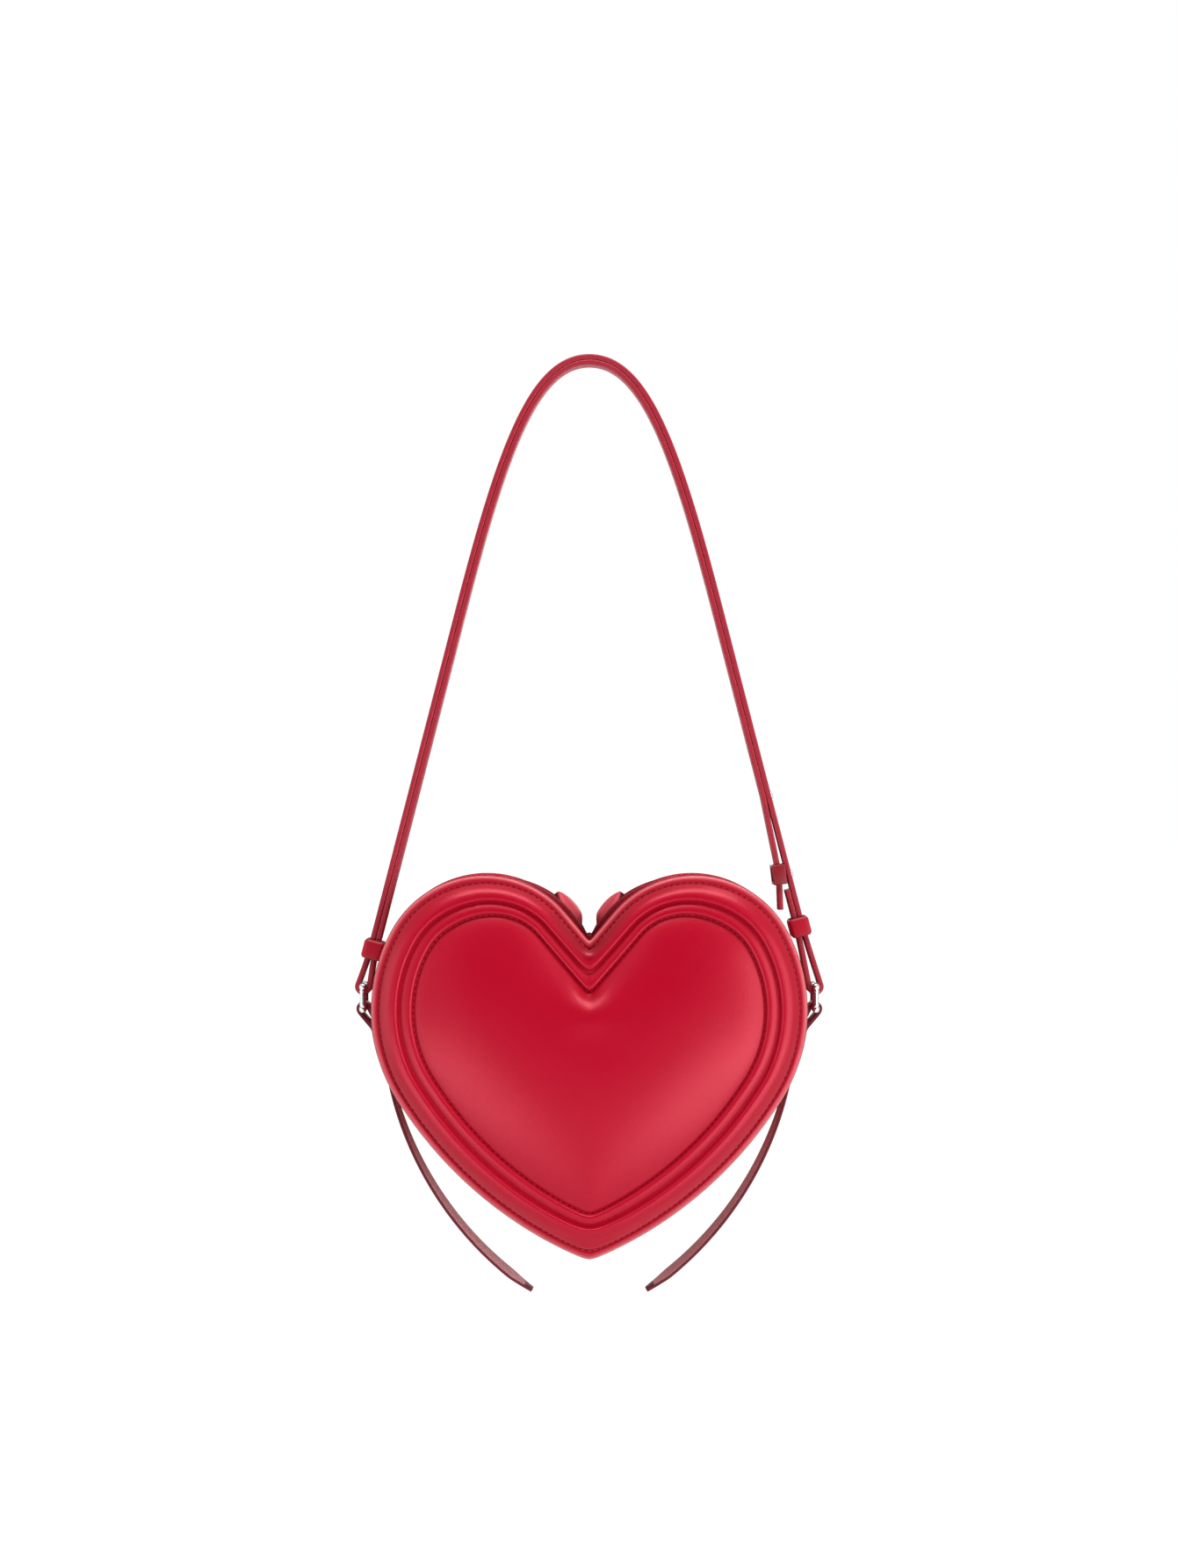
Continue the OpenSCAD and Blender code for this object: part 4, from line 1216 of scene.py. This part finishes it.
for name, way in sides:
    hole = (strap["ply"] + plyStep + 2 * strap["fit"], strap["width"] + 2 * strap["fit"])
    wall, high = strap["keeperT"] * mm, strap["keeperH"] * mm
    made = box((hole[0] * mm + 2 * wall, hole[1] * mm + 2 * wall, high))
    made.name = name + "Keeper"
    bevelAlong(made, 2, high / 2, wall * 0.95)
    choose(made, lambda face: abs(face.normal.z) > 0.9)
    inEdit(made)
    bpy.ops.mesh.delete(type="ONLY_FACE")
    bpy.ops.mesh.select_all(action="SELECT")
    bpy.ops.mesh.normals_make_consistent(inside=False)
    outOfEdit()
    applied(made, "SOLIDIFY", thickness=wall, offset=-1, use_even_offset=True)
    softEdges(made, strap["keeperSoft"])
    for face in made.data.polygons:
        face.material_index = int(abs(face.normal.z) > 0.5)
    middle = onLeg(strap[name + "Keeper"], 0) + upLeg * strap["keeperH"] / 2
    made.rotation_euler = (0, -lean * way, 0)
    made.location = (middle[0] * way * mm, 0, middle[1] * mm)
    settle(made)
    finishWith(made, strapLeather, strapEdge)
    placeOn(made, "keeper_" + name, "strap_leather", name + "_keeper")

slide = {"radius": 0.8, "high": 8.0, "play": 0.5, "corner": 0.5}
above = math.atan2(bendP[0] - splitP[0], splitP[1] - bendP[1])
below = math.atan2(freeP[0] - bendP[0], bendP[1] - freeP[1])
bow = slide["high"] / 2 * math.tan((above - below) / 2)
reach = strap["ply"] / 2 + slide["radius"] + strap["fit"]
cheekY = strap["width"] / 2 + slide["play"] + slide["radius"]
bars = ((-reach - bow, slide["high"] / 2), (-reach - bow, -slide["high"] / 2), (reach, 0))
parts = [metalRod((x * mm, -cheekY * mm, z * mm), (x * mm, cheekY * mm, z * mm), slide["radius"])
         for x, z in bars]
for way in (-1, 1):
    cheek = block(((2 * (reach + slide["radius"]) + bow) * mm, 2 * slide["radius"] * mm,
                   (slide["high"] + 2 * slide["radius"]) * mm), slide["corner"])
    cheek.location = (-bow / 2 * mm, way * cheekY * mm, 0)
    placeInMesh()
    parts.append(cheek)
made = joinAll("strapSlide", parts)
made.rotation_euler = (0, -(above + below) / 2, 0)
made.location = (bendP[0] * mm, 0, bendP[1] * mm)
settle(made)
finishWith(made, lacqueredMetal)
placeOn(made, "strap", "metal", "strap_slide")

stud = {"radius": 1.0, "head": 1.9, "headH": 1.2, "sunk": 0.0001, "upper": (91.7, 2),
        "lower": (53.7, 1)}  # height above the ring and the number of plies it goes through
for name in ("upper", "lower"):
    up, plies = stud[name]
    head = added(bpy.ops.mesh.primitive_uv_sphere_add, segments=32, ring_count=24,
                 radius=stud["head"] * mm)
    editAll(head)
    bpy.ops.transform.resize(value=(1, 1, stud["headH"] / stud["head"]))
    bpy.ops.mesh.bisect(plane_co=(0, 0, 0), plane_no=(0, 0, 1), clear_inner=True, use_fill=True)
    outOfEdit()
    shaft = metalRod((0, 0, -plies * strap["ply"] * mm), (0, 0, stud["sunk"]), stud["radius"])
    made = joinAll(name + "Stud", [head, shaft])
    place = onLeg(up, plyStep / 2 + strap["ply"] / 2 + strap["lay"])
    made.rotation_euler = (0, math.pi / 2 - lean, 0)
    made.location = (place[0] * mm, 0, place[1] * mm)
    settle(made, 50)
    finishWith(made, polishedNickel)
    placeOn(made, "strap", "metal", name + "_stud")
print("stage: keepers, slide and studs")

# zip sliders, links and leaf pulls

zipper = {"chainIn": 4.95, "at": 151.0, "toothH": 1.9, "gap": 0.5, "plate": 1.1, "wide": 7.6,
          "long": 9.0, "narrow": 0.62, "corner": 2.0, "soft": 0.3, "wedge": 0.6,
          "wedgeLong": 3.0, "wedgeCorner": 0.12, "bailT": 0.4, "bailW": 1.6, "bailH": 4.4,
          "bailR": 1.2, "bailZ": 2.6, "archR": 1.0, "archSteps": 14, "archStep": 0.25,
          "sunk": 0.2, "bailCorner": 0.12,
          "wire": 0.5, "linkW": 6.6, "linkLong": 4.0, "linkR": 0.9}
pull = {"long": 21.8, "wide": 10.0, "thick": 3.0, "edgeT": 0.95, "lean": 52.0, "start": 0.2,
        "plump": 2.0, "tilt": 29.0, "wider": 1.06, "rise": 2.4, "riseLong": 7.0, "blunt": 0.7,
        "soft": 0.4, "cells": (34, 14), "crowd": (0.97, 0.9)}
plateAt = zipper["toothH"] / 2 + zipper["gap"]
bailFoot = plateAt + zipper["plate"]
bailTop = bailFoot + zipper["bailH"] - zipper["bailR"]


def sliderPlate(low):
    # a plate with one wide and one narrow end, in the slider's own frame
    made = box((zipper["plate"] * mm, zipper["wide"] * mm, zipper["long"] * mm))
    for vertex in made.data.vertices:
        vertex.co.x += (low + zipper["plate"] / 2) * mm
        if vertex.co.z < 0:
            vertex.co.y *= zipper["narrow"]
    bevelAlong(made, 0, zipper["plate"] * mm / 2, zipper["corner"] * mm)
    softEdges(made, zipper["soft"])
    return made


def slider():
    plates = [sliderPlate(plateAt), sliderPlate(-bailFoot)]
    wedge = block(((2 * plateAt + zipper["plate"]) * mm, zipper["wedge"] * mm,
                   (zipper["wedgeLong"] - zipper["plate"]) * mm), zipper["wedgeCorner"])
    wedge.location = (0, 0, (zipper["long"] - zipper["wedgeLong"] - zipper["plate"]) / 2 * mm)
    placeInMesh()
    foot = bailFoot - zipper["sunk"]
    arch = [(foot, zipper["bailZ"] - zipper["archR"])]
    arch += arcPoints((bailTop, zipper["bailZ"]), zipper["archR"], -90, 90, zipper["archSteps"])
    arch += [(foot, zipper["bailZ"] + zipper["archR"])]
    bail = sweep("bail", inMetres(evenly(arch, zipper["archStep"])), zipper["bailT"] * mm,
                 zipper["bailW"] * mm, zipper["bailCorner"] * mm)
    return joinAll("slider", plates + [wedge, bail])


def linkWire():
    half, long_, round_ = zipper["linkW"] / 2, zipper["linkLong"], zipper["linkR"]
    corners = [((long_ - round_, half - round_), 0), ((round_, half - round_), 90),
               ((round_, round_ - half), 180), ((long_ - round_, round_ - half), 270)]
    points = []
    for centre, start in corners:
        points += arcPoints(centre, round_, start, start + 90, 8)
    return closedCord("link", [(x * mm, y * mm, 0) for x, y in points], zipper["wire"])


def bulged(t, share):
    # spreads the points of a row from -1 to 1 closer towards its ends
    return math.sin(t * math.pi / 2 * share) / math.sin(math.pi / 2 * share)


def leaf():
    # two layers of leather cut to a leaf, plump in the middle and turned a little to the front
    made = added(bpy.ops.mesh.primitive_grid_add, size=1, x_subdivisions=pull["cells"][0],
                 y_subdivisions=pull["cells"][1])
    radius = (pull["long"] ** 2 + pull["wide"] ** 2) / (4 * pull["wide"])
    applied(made, "SOLIDIFY", thickness=1, offset=0)
    for face in made.data.polygons:
        face.material_index = int(abs(face.normal.z) < 0.5)
    for vertex in made.data.vertices:
        layer = math.copysign(1, vertex.co.z)
        u, v = bulged(vertex.co.x * 2, pull["crowd"][0]), bulged(vertex.co.y * 2, pull["crowd"][1])
        x = u * pull["long"] / 2
        half = math.sqrt(max(0, radius ** 2 - x ** 2)) - (radius - pull["wide"] / 2)
        y = v * max(pull["blunt"], half) * pull["wider"]
        rise = (1 - v * v) ** 0.6 * (1 - u * u) ** 0.5
        plump = pull["plump"] if layer > 0 else 0
        z = layer * (pull["edgeT"] + (pull["thick"] / 2 - pull["edgeT"] + plump) * rise)
        vertex.co = Vector((pull["start"] + pull["long"] / 2 + x, y, z)) * mm
    made.rotation_euler = (math.radians(pull["tilt"]), 0, 0)
    settle(made, 0)
    for vertex in made.data.vertices:
        share = min(1.0, (vertex.co.x / mm - pull["start"]) / pull["riseLong"])
        vertex.co.z += pull["rise"] * smoothly(share) * mm
    softEdges(made, pull["soft"])
    return made


def setAt(made, place, turn, way):
    # turned and moved to its place on the right, or mirrored to the left
    made.rotation_euler = (0, -math.radians(turn), 0)
    made.location = spot(place[0], 0, place[1])
    settle(made, 0)
    if way < 0:
        for vertex in made.data.vertices:
            vertex.co.x = -vertex.co.x
        editAll(made)
        bpy.ops.mesh.flip_normals()
        outOfEdit()
    return settle(made)


sliderAt = lobeC + polar(heart["lobeR"] - zipper["chainIn"], zipper["at"])
pivot = sliderAt + polar(bailTop, zipper["at"]) + polar(zipper["bailZ"], zipper["at"] + 90)
for name, way in sides:
    made = finishWith(setAt(slider(), sliderAt, zipper["at"], way), lacqueredMetal)
    made.name = name + "Slider"
    placeOn(made, "slider_" + name, "slider", name + "_slider")
    made = finishWith(setAt(linkWire(), pivot, pull["lean"], way), polishedNickel)
    made.name = name + "PullLink"
    placeOn(made, "pull_" + name, "metal", name + "_pull_link")
    made = finishWith(setAt(leaf(), pivot, pull["lean"], way), pullPaintedLitLeather, paintedEdge)
    made.name = name + "PullLeaf"
    placeOn(made, "pull_" + name, "red_leather", name + "_pull_leaf")
print("stage: sliders and pulls")

# solids kept from the frame, with their finishes

kept = {"front_board": pressedBoard, "back_board": pressedBoard, "front_lining": twillLining,
        "back_lining": twillLining, "gusset_lining": twillLining,
        "front_zip_teeth": polishedNickel, "back_zip_teeth": polishedNickel,
        "zip_stops": polishedNickel}
for nodeName, material in kept.items():
    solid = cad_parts[nodeName]
    solid.data.materials.clear()
    solid.data.materials.append(material)
print("stage: kept solids")
